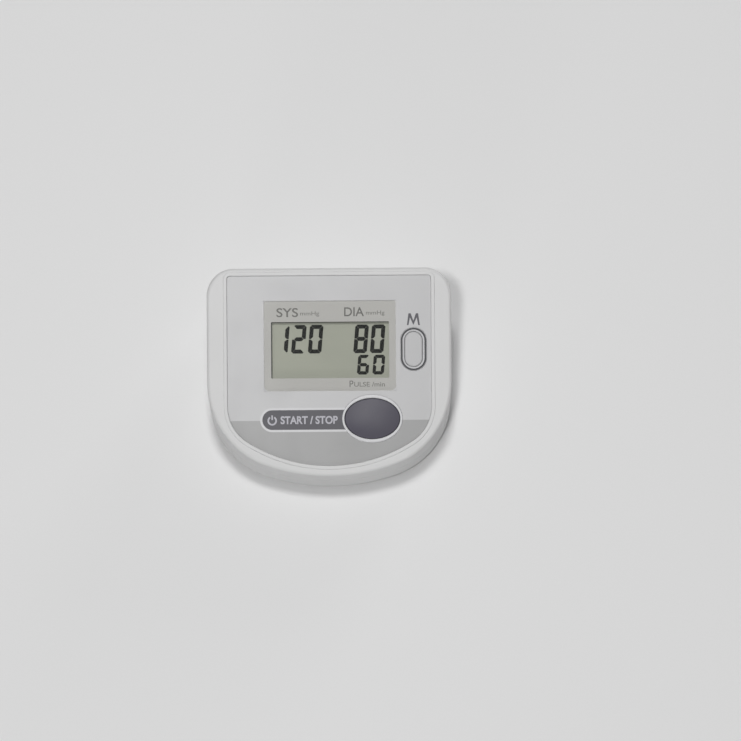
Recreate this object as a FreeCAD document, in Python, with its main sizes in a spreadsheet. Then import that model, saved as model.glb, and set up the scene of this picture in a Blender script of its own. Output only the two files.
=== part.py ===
"""Desktop blood pressure monitor for an upper-arm cuff, as a parametric document.

The case is a wedge: a level base and a deck that slopes down towards the user. +Z is up, +X is to the
user's right, the user sits at -Y, and the origin is on the table under the middle of the case. Pieces
that sit on the deck are drawn flat and then laid on it: X across, Y up the slope, Z out of the face.
"""

import FreeCAD, Part
import math
import os
import re
import Sketcher

doc = FreeCAD.newDocument("BloodPressureMonitor")

# ---------------------------------------------------------------------------
# Driving sizes, in millimetres and degrees
# ---------------------------------------------------------------------------
SIZES = {
    # case
    "case_width": 128.0,
    "case_depth": 104.0,
    "rear_height": 57.5,
    "front_height": 23.7,
    "case_wall": 2.5,
    "rear_corner": 14.0,
    "front_corner": 44.0,
    "front_arc": 105.0,
    "deck_edge": 1.6,
    "base_edge": 3.0,
    "foot_height": 1.5,
    "seam_height": 15.0,
    "seam_edge": 0.3,
    "lip_height": 1.5,
    "lip_wall": 1.1,
    "slip_gap": 0.1,
    "loose_gap": 0.3,
    "overlap": 1.0,
    # face panel, in the plane of the deck
    "panel_side_rim": 10.65,
    "panel_rear_rim": 4.5,
    "panel_front_rim": 5.35,
    "panel_corner": 1.8,
    "panel_front_corner": 22.0,
    "panel_front_arc": 80.0,
    "panel_recess": 1.2,
    "panel_sheet": 0.8,
    "bead_width": 2.0,
    "bead_height": 0.5,
    "bead_round": 0.4,
    # display
    "window_left_rim": 19.2,
    "window_right_rim": 18.5,
    "window_drop": 13.2,
    "window_gap": 14.6,
    "window_corner": 1.0,
    "window_cut": 1.8,
    "window_ledge": 2.0,
    "glass_side": 2.5,
    "glass_front": 4.4,
    "glass_rear": 8.8,
    "glass_sheet": 2.0,
    "glass_depth": 3.0,
    "holder_wall": 2.0,
    "holder_ledge": 2.2,
    "zebra_width": 2.2,
    "zebra_inset": 4.0,
    # buttons
    "start_shift": 22.3,
    "start_room": 24.5,
    "start_long": 14.4,
    "start_short": 10.8,
    "start_ring_long": 1.1,
    "start_ring_short": 1.5,
    "start_rise": 0.5,
    "start_dome": 1.3,
    "dome_spread": 1.02,
    "memory_rim": 9.25,
    "memory_low": 2.0,
    "memory_round": 4.7,
    "memory_straight": 9.0,
    "memory_ring": 1.9,
    "memory_rise": 0.7,
    "ring_rise": 0.0,
    "button_flange": 1.0,
    "button_travel": 0.5,
    "stem_radius": 2.0,
    "switch_size": 6.0,
    "switch_height": 3.3,
    "plunger_radius": 1.75,
    "plunger_rise": 0.8,
    "plunger_length": 2.2,
    # main board
    "board_left_room": 15.0,
    "board_right_room": 13.0,
    "board_rear_room": 16.2,
    "board_front_room": 19.3,
    "board_depth": 9.0,
    "board_sheet": 1.6,
    "board_screw_inset": 4.5,
    "board_screw_step": 13.5,
    "board_boss": 2.6,
    "board_screw_radius": 1.1,
    "board_screw_length": 6.0,
    "board_head_radius": 2.1,
    "board_head": 1.3,
    "chip_size": 10.0,
    "chip_height": 1.5,
    "capacitor_radius": 2.5,
    "capacitor_height": 6.0,
    "capacitor_across": 20.0,
    "capacitor_pitch": 8.0,
    "buzzer_radius": 6.0,
    "buzzer_height": 5.5,
    "sensor_width": 7.0,
    "sensor_height": 5.0,
    # case fasteners and feet
    "rear_post_side": 9.0,
    "rear_post_room": 10.0,
    "front_post_side": 22.0,
    "front_post_room": 19.0,
    "post_radius": 3.5,
    "boss_radius": 4.4,
    "screw_radius": 1.45,
    "screw_length": 15.0,
    "screw_head_radius": 2.8,
    "screw_head": 2.2,
    "screw_well": 6.5,
    "screw_well_radius": 3.2,
    "foot_radius": 5.0,
    "foot_recess": 0.8,
    "rear_foot_side": 18.0,
    "rear_foot_room": 22.0,
    "front_foot_side": 36.0,
    "front_foot_room": 14.0,
    # battery compartment
    "cell_radius": 7.25,
    "cell_length": 49.2,
    "cell_pitch": 15.0,
    "nub_radius": 2.75,
    "nub_length": 1.3,
    "spring_length": 3.0,
    "spring_wire": 0.35,
    "spring_radius": 2.9,
    "spring_turns": 3.0,
    "plate_sheet": 0.5,
    "plate_height": 11.0,
    "bay_room": 66.0,
    "bay_wall": 2.5,
    "bay_roof": 1.2,
    "cover_sheet": 2.0,
    "rail_reach": 1.2,
    "rail_sheet": 1.0,
    "cover_upstand": 7.5,
    "grip_width": 22.0,
    "grip_depth": 0.5,
    # air system
    "pump_clearance": 0.7,
    "outlet_inset": 8.0,
    "head_length": 19.0,
    "motor_room": 15.0,
    "motor_wall": 1.0,
    "shaft_radius": 1.0,
    "sleeve_wall": 1.5,
    "saddle_sheet": 2.0,
    "socket_room": 54.0,
    "socket_radius": 4.0,
    "socket_length": 19.5,
    "flange_radius": 6.5,
    "flange_sheet": 1.0,
    "plug_bore": 2.2,
    "plug_depth": 9.0,
    "barb_radius": 1.45,
    "barb_length": 5.0,
    "barb_bare": 0.5,
    "bend_share": 0.45,
    "bend_room": 6.2,
    "port_run": 7.7,
    "port_drop": 2.4,
    "air_bore": 0.8,
    "branch_bore": 0.6,
    "tube_radius": 2.2,
    "valve_side": 14.0,
    "valve_size": 14.0,
    "valve_room": 18.0,
    "valve_wall": 2.0,
    "valve_gap": 2.0,
    "valve_stroke": 0.6,
    "valve_pin": 2.0,
    "sensor_side": 19.0,
    # mains adapter inlet
    "jack_width": 9.0,
    "jack_height": 10.6,
    "jack_length": 13.0,
    "jack_collar": 3.8,
    "jack_bore": 2.85,
    "jack_pin": 1.0,
    "pin_inset": 1.0,
    "jack_bore_depth": 9.5,
}

# Sizes and places that follow from the driving sizes
WORKED_OUT = {
    "deck_tilt": "atan((rear_height - front_height) / case_depth)",
    "deck_middle": "((rear_height + front_height) / 2)",
    "deck_rear": "(case_depth / 2 / cos(deck_tilt))",
    "floor": "(foot_height + case_wall)",
    # face
    "panel_half": "(case_width / 2 - panel_side_rim)",
    "panel_rear": "(deck_rear - panel_rear_rim)",
    "panel_front": "(-deck_rear + panel_front_rim)",
    "start_up": "(panel_front + start_room)",
    "window_left": "(-panel_half + window_left_rim)",
    "window_right": "(panel_half - window_right_rim)",
    "window_front": "(start_up + window_gap)",
    "window_rear": "(panel_rear - window_drop)",
    "memory_across": "(panel_half - memory_rim)",
    "memory_up": "((window_front + window_rear) / 2 - memory_low)",
    # main board
    "board_left": "(-case_width / 2 + board_left_room)",
    "board_right": "(case_width / 2 - board_right_room)",
    "board_front": "(panel_front + board_front_room)",
    "board_rear": "(panel_rear - board_rear_room)",
    "board_top": "(-board_depth)",
    "board_under": "(-board_depth - board_sheet)",
    # battery bay
    "bay_half": "(2 * cell_pitch + loose_gap)",
    "bay_outer": "(bay_half + bay_wall)",
    "bay_front": "(case_depth / 2 - bay_room)",
    "bay_rear": "(bay_front + cell_length + nub_length + spring_length + 2 * plate_sheet)",
    "cell_level": "(foot_height + cover_sheet + loose_gap + cell_radius)",
    "bay_ceiling": "(cell_level + cell_radius + loose_gap)",
    "channel_top": "(foot_height + cover_sheet + loose_gap)",
    # posts and feet
    "rear_post_across": "(case_width / 2 - rear_post_side)",
    "rear_post_back": "(case_depth / 2 - rear_post_room)",
    "front_post_across": "(case_width / 2 - front_post_side)",
    "front_post_back": "(-case_depth / 2 + front_post_room)",
    "rear_foot_across": "(case_width / 2 - rear_foot_side)",
    "rear_foot_back": "(case_depth / 2 - rear_foot_room)",
    "front_foot_across": "(case_width / 2 - front_foot_side)",
    "front_foot_back": "(-case_depth / 2 + front_foot_room)",
    # air system: the socket keeps its distance from the front wall, the motor and the valve from the rear wall
    "socket_back": "(-case_depth / 2 + socket_room)",
    "socket_wall": "(-case_width / 2)",
    "socket_end": "(socket_wall + case_wall + socket_length)",
    "valve_across": "(case_width / 2 - valve_side)",
    "valve_front": "(socket_back + socket_radius + 2 * barb_length + valve_gap)",
    "valve_length": "(case_depth / 2 - valve_room - valve_front)",
    "sensor_across": "(case_width / 2 - sensor_side)",
    "port_level": "(board_under - port_drop)",
    "bend_corner": "(socket_back - socket_radius - barb_bare - bend_room)",
    "air_height": "(deck_middle + bend_corner * tan(deck_tilt) + port_level / cos(deck_tilt))",
    "port_end": "((bend_corner - port_run) / cos(deck_tilt) + port_level * tan(deck_tilt))",
    "pump_across": "((case_width / 2 - case_wall + bay_outer) / 2)",
    "pump_front": "(socket_back - outlet_inset)",
    "pump_top_room": "(board_under / cos(deck_tilt) - pump_clearance)",
    "pump_ceiling": "(deck_middle + pump_front * tan(deck_tilt) + pump_top_room)",
    "pump_by_height": "((pump_ceiling - floor - loose_gap - sleeve_wall) / 2)",
    "pump_by_width": "((case_width / 2 - case_wall - bay_outer) / 2 - loose_gap - sleeve_wall)",
    "pump_radius": "min(pump_by_height; pump_by_width)",
    "pump_level": "(floor + loose_gap + sleeve_wall + pump_radius)",
    "rotor_radius": "(pump_radius - 3 * motor_wall)",
    "head_rear": "(pump_front + head_length)",
    "motor_rear": "(case_depth / 2 - motor_room)",
    "motor_length": "(motor_rear - head_rear)",
    "sleeve_length": "(motor_length * 2 / 3)",
    # mains adapter inlet, half-way between the battery bay and the rear post
    "jack_across": "((bay_outer + rear_post_across - boss_radius) / 2)",
    "jack_level": "(floor + jack_height / 2)",
}

sheet = doc.addObject("Spreadsheet::Sheet", "sizes")
for row, (alias, amount) in enumerate(SIZES.items(), start=1):
    sheet.set("A%d" % row, alias)
    sheet.set("B%d" % row, str(amount))
    sheet.setAlias("B%d" % row, alias)
doc.recompute()

NODES = []


# ---------------------------------------------------------------------------
# Formulas of the driving sizes
# ---------------------------------------------------------------------------
WORD = re.compile(r"[a-z][a-z_0-9]*")


def cells(text):
    """The formula with worked-out sizes written out and each driving size pointed at its cell."""
    while any(word in WORKED_OUT for word in WORD.findall(text)):
        text = WORD.sub(lambda word: WORKED_OUT.get(word[0], word[0]), text)
    return WORD.sub(lambda word: "sizes." + word[0] if word[0] in SIZES else word[0], text)


def number(text):
    """The value of a formula."""
    return float(sheet.evalExpression(cells(text)))


def bind(thing, **formulas):
    """Bind properties of an object to formulas; an underscore pair stands for a dot."""
    for prop, text in formulas.items():
        thing.setExpression(prop.replace("__", "."), cells(text))


def deck_height(back):
    """Height of the deck's surface at a place behind the middle of the case."""
    return f"(rear_height - (case_depth / 2 - ({back})) * tan(deck_tilt))"


FACE = "(-panel_recess + panel_sheet)"
UNDER_DECK = "(-case_wall)"


# ---------------------------------------------------------------------------
# Sketches and features
# ---------------------------------------------------------------------------
def lay_on_deck(piece):
    """Turn a piece that is drawn flat onto the sloping deck."""
    turn = FreeCAD.Rotation(FreeCAD.Vector(1, 0, 0), number("deck_tilt"))
    piece.Placement = FreeCAD.Placement(FreeCAD.Vector(0, 0, number(deck_height("0"))), turn)
    bind(piece, Placement__Base__z=deck_height("0"), Placement__Rotation__Angle="deck_tilt")


def keep(piece, label, on_deck=False):
    """Make an object one of the finished sub-parts."""
    piece.Label = label
    if on_deck:
        lay_on_deck(piece)
    NODES.append(piece)
    return piece


def new_body(label, on_deck=False):
    return keep(doc.addObject("PartDesign::Body", label), label, on_deck)


def new_sketch(body, level="0", plane="XY_Plane", tilted=False):
    """A sketch on one of the body's origin planes, or on the deck, moved along its own normal."""
    sketch = body.newObject("Sketcher::SketchObject", body.Name + "_sketch")
    origin = [feature for feature in body.Origin.OriginFeatures if feature.Role == plane][0]
    sketch.AttachmentSupport = (origin, [""])
    sketch.MapMode = "FlatFace"
    if tilted:
        turn = FreeCAD.Rotation(FreeCAD.Vector(1, 0, 0), number("deck_tilt"))
        sketch.AttachmentOffset = FreeCAD.Placement(FreeCAD.Vector(0, 0, 0), turn)
        bind(
            sketch,
            AttachmentOffset__Base__y=f"-({level}) * sin(deck_tilt)",
            AttachmentOffset__Base__z=f"{deck_height('0')} + ({level}) * cos(deck_tilt)",
            AttachmentOffset__Rotation__Angle="deck_tilt",
        )
    else:
        bind(sketch, AttachmentOffset__Base__z=level)
    return sketch


def dimension(sketch, kind, formula, *places):
    index = sketch.addConstraint(Sketcher.Constraint(kind, *places, number(formula)))
    sketch.setExpression("Constraints[%d]" % index, cells(formula))


def join(sketch, kind, pairs):
    for pair in pairs:
        sketch.addConstraint(Sketcher.Constraint(kind, *pair))


def arc(centre_x, centre_y, radius, start, end):
    circle = Part.Circle(FreeCAD.Vector(centre_x, centre_y, 0), FreeCAD.Vector(0, 0, 1), radius)
    return Part.ArcOfCircle(circle, start, end)


def line(*ends):
    return Part.LineSegment(*[FreeCAD.Vector(x, y, 0) for x, y in ends])


def draw_box(sketch, left, right, low, high):
    """A rectangle between four edge places."""
    x = [number(left), number(right)]
    y = [number(low), number(high)]
    corners = [(x[0], y[0]), (x[1], y[0]), (x[1], y[1]), (x[0], y[1])]
    first = sketch.GeometryCount
    for side in range(4):
        sketch.addGeometry(line(corners[side], corners[(side + 1) % 4]), False)
    join(sketch, "Coincident", [(first + side, 2, first + (side + 1) % 4, 1) for side in range(4)])
    join(sketch, "Horizontal", [(first,), (first + 2,)])
    join(sketch, "Vertical", [(first + 1,), (first + 3,)])
    dimension(sketch, "DistanceX", left, -1, 1, first, 1)
    dimension(sketch, "DistanceX", right, -1, 1, first + 1, 1)
    dimension(sketch, "DistanceY", low, -1, 1, first, 1)
    dimension(sketch, "DistanceY", high, -1, 1, first + 2, 1)


def draw_circle(sketch, across, up, radius):
    centre = FreeCAD.Vector(number(across), number(up), 0)
    index = sketch.addGeometry(Part.Circle(centre, FreeCAD.Vector(0, 0, 1), number(radius)), False)
    dimension(sketch, "DistanceX", across, -1, 1, index, 3)
    dimension(sketch, "DistanceY", up, -1, 1, index, 3)
    dimension(sketch, "Radius", radius, index)


def draw_ellipse(sketch, across, up, half_across, half_up):
    """An ellipse that is longer across than up."""
    x, y = number(across), number(up)
    far_end = FreeCAD.Vector(x + number(half_across), y, 0)
    near_end = FreeCAD.Vector(x, y + number(half_up), 0)
    curve = sketch.addGeometry(Part.Ellipse(far_end, near_end, FreeCAD.Vector(x, y, 0)), False)
    sketch.exposeInternalGeometry(curve)
    long_axis, short_axis = curve + 1, curve + 2
    join(sketch, "Horizontal", [(long_axis,)])
    dimension(sketch, "DistanceX", across, -1, 1, curve, 3)
    dimension(sketch, "DistanceY", up, -1, 1, curve, 3)
    dimension(sketch, "Distance", f"2 * ({half_across})", long_axis)
    dimension(sketch, "Distance", f"2 * ({half_up})", short_axis)


def draw_stadium(sketch, across, up, radius, straight):
    """An upright slot: two round ends joined by straight sides."""
    x, y, end, half = number(across), number(up), number(radius), number(straight) / 2
    first = sketch.GeometryCount
    sketch.addGeometry(arc(x, y + half, end, 0, math.pi), False)
    sketch.addGeometry(line((x - end, y + half), (x - end, y - half)), False)
    sketch.addGeometry(arc(x, y - half, end, math.pi, 2 * math.pi), False)
    sketch.addGeometry(line((x + end, y - half), (x + end, y + half)), False)
    top, left, bottom, right = range(first, first + 4)
    around = [top, left, bottom, right, top]
    join(sketch, "Tangent", [(side, 2, after, 1) for side, after in zip(around, around[1:])])
    join(sketch, "Vertical", [(left,)])
    dimension(sketch, "DistanceX", across, -1, 1, top, 3)
    dimension(sketch, "DistanceY", f"({up}) + ({straight}) / 2", -1, 1, top, 3)
    dimension(sketch, "DistanceY", f"({up}) - ({straight}) / 2", -1, 1, bottom, 3)
    dimension(sketch, "Radius", radius, top)


def draw_shield(sketch, half_width, rear, front, rear_corner, front_corner, front_arc):
    """The D-shaped outline of the case: a straight rear, upright sides and a full round front."""
    hw, back, ahead = number(half_width), number(rear), number(front)
    small, corner, sweep = number(rear_corner), number(front_corner), number(front_arc)
    centre_y = ahead + sweep
    centre_x = hw - corner
    corner_y = centre_y - math.sqrt((sweep - corner) ** 2 - centre_x**2)
    lean = math.atan2(corner_y - centre_y, centre_x)
    first = sketch.GeometryCount
    shapes = [
        line((-hw + small, back), (hw - small, back)),
        arc(hw - small, back - small, small, 0, math.pi / 2),
        line((hw, back - small), (hw, corner_y)),
        arc(centre_x, corner_y, corner, lean, 0),
        arc(0, centre_y, sweep, -math.pi - lean, lean),
        arc(-centre_x, corner_y, corner, math.pi, math.pi - lean),
        line((-hw, corner_y), (-hw, back - small)),
        arc(-hw + small, back - small, small, math.pi / 2, math.pi),
    ]
    for shape in shapes:
        sketch.addGeometry(shape, False)
    rear_line, right_rear, right, right_front, nose, left_front, left, left_rear = range(first, first + 8)
    joints = [
        (rear_line, 2, right_rear, 2),
        (right_rear, 1, right, 1),
        (right, 2, right_front, 2),
        (right_front, 1, nose, 2),
        (nose, 1, left_front, 2),
        (left_front, 1, left, 1),
        (left, 2, left_rear, 2),
        (left_rear, 1, rear_line, 1),
    ]
    join(sketch, "Tangent", joints)
    join(sketch, "Horizontal", [(rear_line,)])
    join(sketch, "Vertical", [(right,), (left,)])
    join(sketch, "Equal", [(right_rear, left_rear), (right_front, left_front)])
    join(sketch, "PointOnObject", [(nose, 3, -2)])
    dimension(sketch, "Radius", rear_corner, right_rear)
    dimension(sketch, "Radius", front_corner, right_front)
    dimension(sketch, "Radius", front_arc, nose)
    dimension(sketch, "DistanceX", half_width, -1, 1, right, 1)
    dimension(sketch, "DistanceX", f"-({half_width})", -1, 1, left, 1)
    dimension(sketch, "DistanceY", rear, -1, 1, rear_line, 1)
    dimension(sketch, "DistanceY", f"({front}) + ({front_arc})", -1, 1, nose, 3)


def case_outline(inset):
    """The case's outline in plan, moved in by an inset."""
    return [
        f"case_width / 2 - ({inset})",
        f"case_depth / 2 - ({inset})",
        f"-case_depth / 2 + ({inset})",
        f"rear_corner - ({inset})",
        f"front_corner - ({inset})",
        f"front_arc - ({inset})",
    ]


def panel_outline(inset):
    """The face panel's outline in the plane of the deck, moved in by an inset."""
    return [
        f"panel_half - ({inset})",
        f"panel_rear - ({inset})",
        f"panel_front + ({inset})",
        f"panel_corner - ({inset})",
        f"panel_front_corner - ({inset})",
        f"panel_front_arc - ({inset})",
    ]


def extrude(kind, body, sketch, length, reverse=False):
    feature = body.newObject("PartDesign::" + kind, body.Name + "_" + kind.lower())
    feature.Profile = sketch
    feature.Reversed = reverse
    bind(feature, Length=length)
    doc.recompute()
    return feature


def pad(body, sketch, length, reverse=False):
    """Add material along the sketch's normal, or against it."""
    return extrude("Pad", body, sketch, length, reverse)


def pocket(body, sketch, length, along=False):
    """Cut against the sketch's normal, or along it; the cut has to take something away."""
    before = body.Shape.Volume
    feature = extrude("Pocket", body, sketch, length, along)
    if not body.Shape.Volume < before - 1e-3:
        raise ValueError("nothing cut by " + feature.Name)
    return feature


def round_edges(body, radius, chosen, kind="Fillet"):
    """Round, or chamfer, the edges of the body's last feature that the test picks."""
    base = body.Tip
    names = ["Edge%d" % (i + 1) for i, edge in enumerate(base.Shape.Edges) if chosen(edge)]
    feature = body.newObject("PartDesign::" + kind, body.Name + "_" + kind.lower())
    feature.Base = (base, names)
    bind(feature, **{"Radius" if kind == "Fillet" else "Size": radius})
    doc.recompute()
    return feature


def on_level(edge, level):
    """True if the whole edge lies at one height of the body's own frame."""
    return all(abs(edge.valueAt(at).z - level) < 1e-4 for at in edge.ParameterRange)


def on_deck_plane(edge, level=0.0):
    """True if the whole edge lies on a plane parallel to the deck, in the case's frame."""
    tilt = math.radians(number("deck_tilt"))
    middle = number(deck_height("0"))
    points = [edge.valueAt(at) for at in edge.ParameterRange]
    heights = [(point.z - middle) * math.cos(tilt) - point.y * math.sin(tilt) for point in points]
    return all(abs(height - level) < 1e-4 for height in heights)


def is_seam_edge(edge):
    """True for the edges round the outside of the case where its two halves meet."""
    box = edge.BoundBox
    wide = max(abs(box.XMin), abs(box.XMax)) > number("case_width / 2 - case_wall / 2")
    deep = max(abs(box.YMin), abs(box.YMax)) > number("case_depth / 2 - case_wall / 2")
    return on_level(edge, number("seam_height")) and (wide or deep)


def hollow(body, chosen):
    """Turn the body into a shell, open at the face that the test picks."""
    base = body.Tip
    names = ["Face%d" % (i + 1) for i, face in enumerate(base.Shape.Faces) if chosen(face)]
    feature = body.newObject("PartDesign::Thickness", body.Name + "_shell")
    feature.Base = (base, names)
    feature.Reversed = True
    feature.Join = "Intersection"
    bind(feature, Value="case_wall")
    doc.recompute()
    return feature


# ---------------------------------------------------------------------------
# Solids for the bought-in pieces
# ---------------------------------------------------------------------------
TURNS = {
    "Z": FreeCAD.Rotation(FreeCAD.Vector(0, 0, 1), 0),
    "Y": FreeCAD.Rotation(FreeCAD.Vector(1, 0, 0), -90),
    "X": FreeCAD.Rotation(FreeCAD.Vector(0, 1, 0), 90),
}


def place(piece, across, back, up):
    bind(piece, Placement__Base__x=across, Placement__Base__y=back, Placement__Base__z=up)
    return piece


def rod(radius, start, end, axis, across, back, up):
    """A cylinder between two places along an axis; the place along that axis is left as 0."""
    piece = doc.addObject("Part::Cylinder", "rod")
    piece.Placement = FreeCAD.Placement(FreeCAD.Vector(0, 0, 0), TURNS[axis])
    bind(piece, Radius=radius, Height=f"({end}) - ({start})")
    places = {"X": (start, back, up), "Y": (across, start, up), "Z": (across, back, start)}
    return place(piece, *places[axis])


def block(left, right, front, rear, low, high):
    piece = doc.addObject("Part::Box", "block")
    bind(piece, Length=f"({right}) - ({left})", Width=f"({rear}) - ({front})", Height=f"({high}) - ({low})")
    return place(piece, left, front, low)


def fuse(*pieces):
    result = doc.addObject("Part::MultiFuse", "fuse")
    result.Shapes = list(pieces)
    return result


def group(*pieces):
    result = doc.addObject("Part::Compound", "set")
    result.Links = list(pieces)
    return result


def cut(base, *tools):
    result = doc.addObject("Part::Cut", "cut")
    result.Base = base
    result.Tool = tools[0] if len(tools) == 1 else fuse(*tools)
    return result


# ---------------------------------------------------------------------------
# Places shared by several pieces
# ---------------------------------------------------------------------------
CASE_POSTS = [
    (side + " * " + across, back)
    for side in ("-1", "1")
    for across, back in (("rear_post_across", "rear_post_back"), ("front_post_across", "front_post_back"))
]
FEET = [
    (side + " * " + across, back)
    for side in ("-1", "1")
    for across, back in (("rear_foot_across", "rear_foot_back"), ("front_foot_across", "front_foot_back"))
]
BOARD_SCREWS = [
    ("board_left + board_screw_inset", "board_rear - board_screw_inset"),
    ("board_right - board_screw_inset", "board_rear - board_screw_inset"),
    ("board_right - board_screw_inset", "board_front + board_screw_inset"),
    ("board_left + board_screw_inset + board_screw_step", "board_front + board_screw_inset"),
]
BACK_ROW = "(board_rear - 2 * board_screw_inset)"
START = ("start_shift", "start_up")
MEMORY = ("memory_across", "memory_up")
WINDOW = ["window_left", "window_right", "window_front", "window_rear"]
GLASS = [
    "window_left + glass_side",
    "window_right - glass_side",
    "window_front + glass_front",
    "window_rear - glass_rear",
]
CELLS = 4
GRIPS = 4


def inset_box(edges, gap):
    """Four edge places moved outwards by a gap."""
    left, right, low, high = edges
    return [f"{left} - ({gap})", f"{right} + ({gap})", f"{low} - ({gap})", f"{high} + ({gap})"]


# ---------------------------------------------------------------------------
# Upper case: wedge-shaped shell with the deck, its recess and the raised bead
# ---------------------------------------------------------------------------
def make_upper_case():
    body = new_body("upper_case")
    outline = new_sketch(body, "seam_height")
    draw_shield(outline, *case_outline("0"))
    pad(body, outline, "rear_height + deck_edge - seam_height")
    slope = new_sketch(body, tilted=True)
    draw_box(slope, "-case_width", "case_width", "-case_depth", "case_depth")
    pocket(body, slope, "rear_height", along=True)
    seam = number("seam_height")
    hollow(body, lambda face: abs(face.BoundBox.ZMax - seam) < 1e-4)
    round_edges(body, "deck_edge", on_deck_plane)
    round_edges(body, "seam_edge", is_seam_edge, kind="Chamfer")
    add_posts(body)
    add_board_bosses(body)
    cut_face_openings(body)
    add_bead(body)
    cut_seam_rebate(body)
    hole = new_sketch(body, "socket_wall", plane="YZ_Plane")
    draw_circle(hole, "socket_back", "air_height", "socket_radius + slip_gap")
    pocket(body, hole, "2 * case_wall", along=True)
    seat = new_sketch(body, "socket_wall", plane="YZ_Plane")
    draw_circle(seat, "socket_back", "air_height", "flange_radius + slip_gap")
    pocket(body, seat, "flange_sheet", along=True)


def add_posts(body):
    """Four posts from the seam to the deck, each bored for a self-tapping screw."""
    for across, back in CASE_POSTS:
        post = new_sketch(body, "seam_height")
        draw_circle(post, across, back, "post_radius")
        under = f"{deck_height(back)} - post_radius * tan(deck_tilt) - slip_gap"
        pad(body, post, f"{under} - seam_height")
    for across, back in CASE_POSTS:
        bore = new_sketch(body, "seam_height")
        draw_circle(bore, across, back, "screw_radius + slip_gap / 2")
        pocket(body, bore, "foot_height + screw_well + screw_length + loose_gap - seam_height", along=True)


def add_board_bosses(body):
    """Four bosses under the deck that the main board is screwed to."""
    bosses = new_sketch(body, f"{UNDER_DECK} + deck_edge / 4", tilted=True)
    for across, up in BOARD_SCREWS:
        draw_circle(bosses, across, up, "board_boss")
    pad(body, bosses, "board_depth - case_wall + deck_edge / 4", reverse=True)
    bores = new_sketch(body, "board_top", tilted=True)
    for across, up in BOARD_SCREWS:
        draw_circle(bores, across, up, "board_screw_radius + slip_gap / 2")
    pocket(body, bores, "board_screw_length - board_sheet + loose_gap", along=True)


def cut_face_openings(body):
    """The recess for the face panel, and the openings for the display and the buttons."""
    recess = new_sketch(body, tilted=True)
    draw_shield(recess, *panel_outline("0"))
    pocket(body, recess, "panel_recess")
    view = new_sketch(body, tilted=True)
    draw_box(view, *inset_box(WINDOW, "-window_ledge"))
    pocket(body, view, "2 * case_wall")
    start = new_sketch(body, tilted=True)
    draw_ellipse(start, *START, "start_long + loose_gap", "start_short + loose_gap")
    pocket(body, start, "2 * case_wall")
    memory = new_sketch(body, tilted=True)
    draw_stadium(memory, *MEMORY, "memory_round + loose_gap", "memory_straight")
    pocket(body, memory, "2 * case_wall")


def add_bead(body):
    """A low rounded bead on the deck that frames the face panel."""
    ring = new_sketch(body, tilted=True)
    draw_shield(ring, *panel_outline("0"))
    draw_shield(ring, *panel_outline("-bead_width"))
    pad(body, ring, "bead_height")
    round_edges(body, "bead_round", lambda edge: on_deck_plane(edge, number("bead_height")))


def cut_seam_rebate(body):
    """The inner half of the lower edge is cut back to take the lower case's lip."""
    rebate = new_sketch(body, "seam_height")
    draw_shield(rebate, *case_outline("case_wall - lip_wall - slip_gap"))
    draw_shield(rebate, *case_outline("case_wall + slip_gap"))
    pocket(body, rebate, "lip_height + slip_gap", along=True)


# ---------------------------------------------------------------------------
# Lower case: open tray with the battery bay, screw bosses and cradles
# ---------------------------------------------------------------------------
def make_lower_case():
    body = new_body("lower_case")
    outline = new_sketch(body, "foot_height")
    draw_shield(outline, *case_outline("0"))
    pad(body, outline, "seam_height - foot_height")
    round_edges(body, "base_edge", lambda edge: on_level(edge, number("foot_height")))
    seam = number("seam_height")
    hollow(body, lambda face: abs(face.BoundBox.ZMin - seam) < 1e-4)
    round_edges(body, "seam_edge", is_seam_edge, kind="Chamfer")
    lip = new_sketch(body, "seam_height - lip_height")
    draw_shield(lip, *case_outline("case_wall - lip_wall"))
    draw_shield(lip, *case_outline("case_wall"))
    pad(body, lip, "2 * lip_height")
    add_battery_bay(body)
    add_screw_bosses(body)
    add_cradles(body)
    feet = new_sketch(body, "foot_height")
    for across, back in FEET:
        draw_circle(feet, across, back, "foot_radius + slip_gap")
    pocket(body, feet, "foot_recess", along=True)
    inlet = new_sketch(body, "-case_depth / 2", plane="XZ_Plane")
    draw_circle(inlet, "-jack_across", "jack_level", "jack_collar + slip_gap")
    pocket(body, inlet, "2 * case_wall", along=True)


def add_battery_bay(body):
    """The box that holds the cells, and the channel that its cover slides out through."""
    walls = new_sketch(body, "foot_height")
    outer = "(bay_half + bay_wall)"
    inner_wall = "case_depth / 2 - case_wall - loose_gap"
    past_wall = "case_depth / 2 + loose_gap"
    draw_box(walls, f"-{outer}", outer, "bay_front - bay_wall", "bay_rear + bay_wall")
    pad(body, walls, "bay_ceiling + bay_roof - foot_height")
    tail = new_sketch(body, "foot_height")
    draw_box(tail, f"-{outer}", outer, "bay_rear", inner_wall)
    pad(body, tail, "channel_top + bay_roof - foot_height")
    space = new_sketch(body, "foot_height")
    draw_box(space, "-bay_half", "bay_half", "bay_front", "bay_rear")
    pocket(body, space, "bay_ceiling - foot_height", along=True)
    channel = new_sketch(body, "foot_height")
    draw_box(channel, "-bay_half", "bay_half", "bay_front", past_wall)
    pocket(body, channel, "cover_sheet + loose_gap", along=True)
    mouth = new_sketch(body, "foot_height")
    draw_box(mouth, "-bay_half", "bay_half", inner_wall, past_wall)
    pocket(body, mouth, "cover_upstand + loose_gap", along=True)
    grooves = new_sketch(body, "foot_height + (cover_sheet - rail_sheet) / 2 - slip_gap")
    reach = "(bay_half + rail_reach)"
    draw_box(grooves, f"-{reach}", reach, "bay_front", past_wall)
    pocket(body, grooves, "rail_sheet + 2 * slip_gap", along=True)


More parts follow.
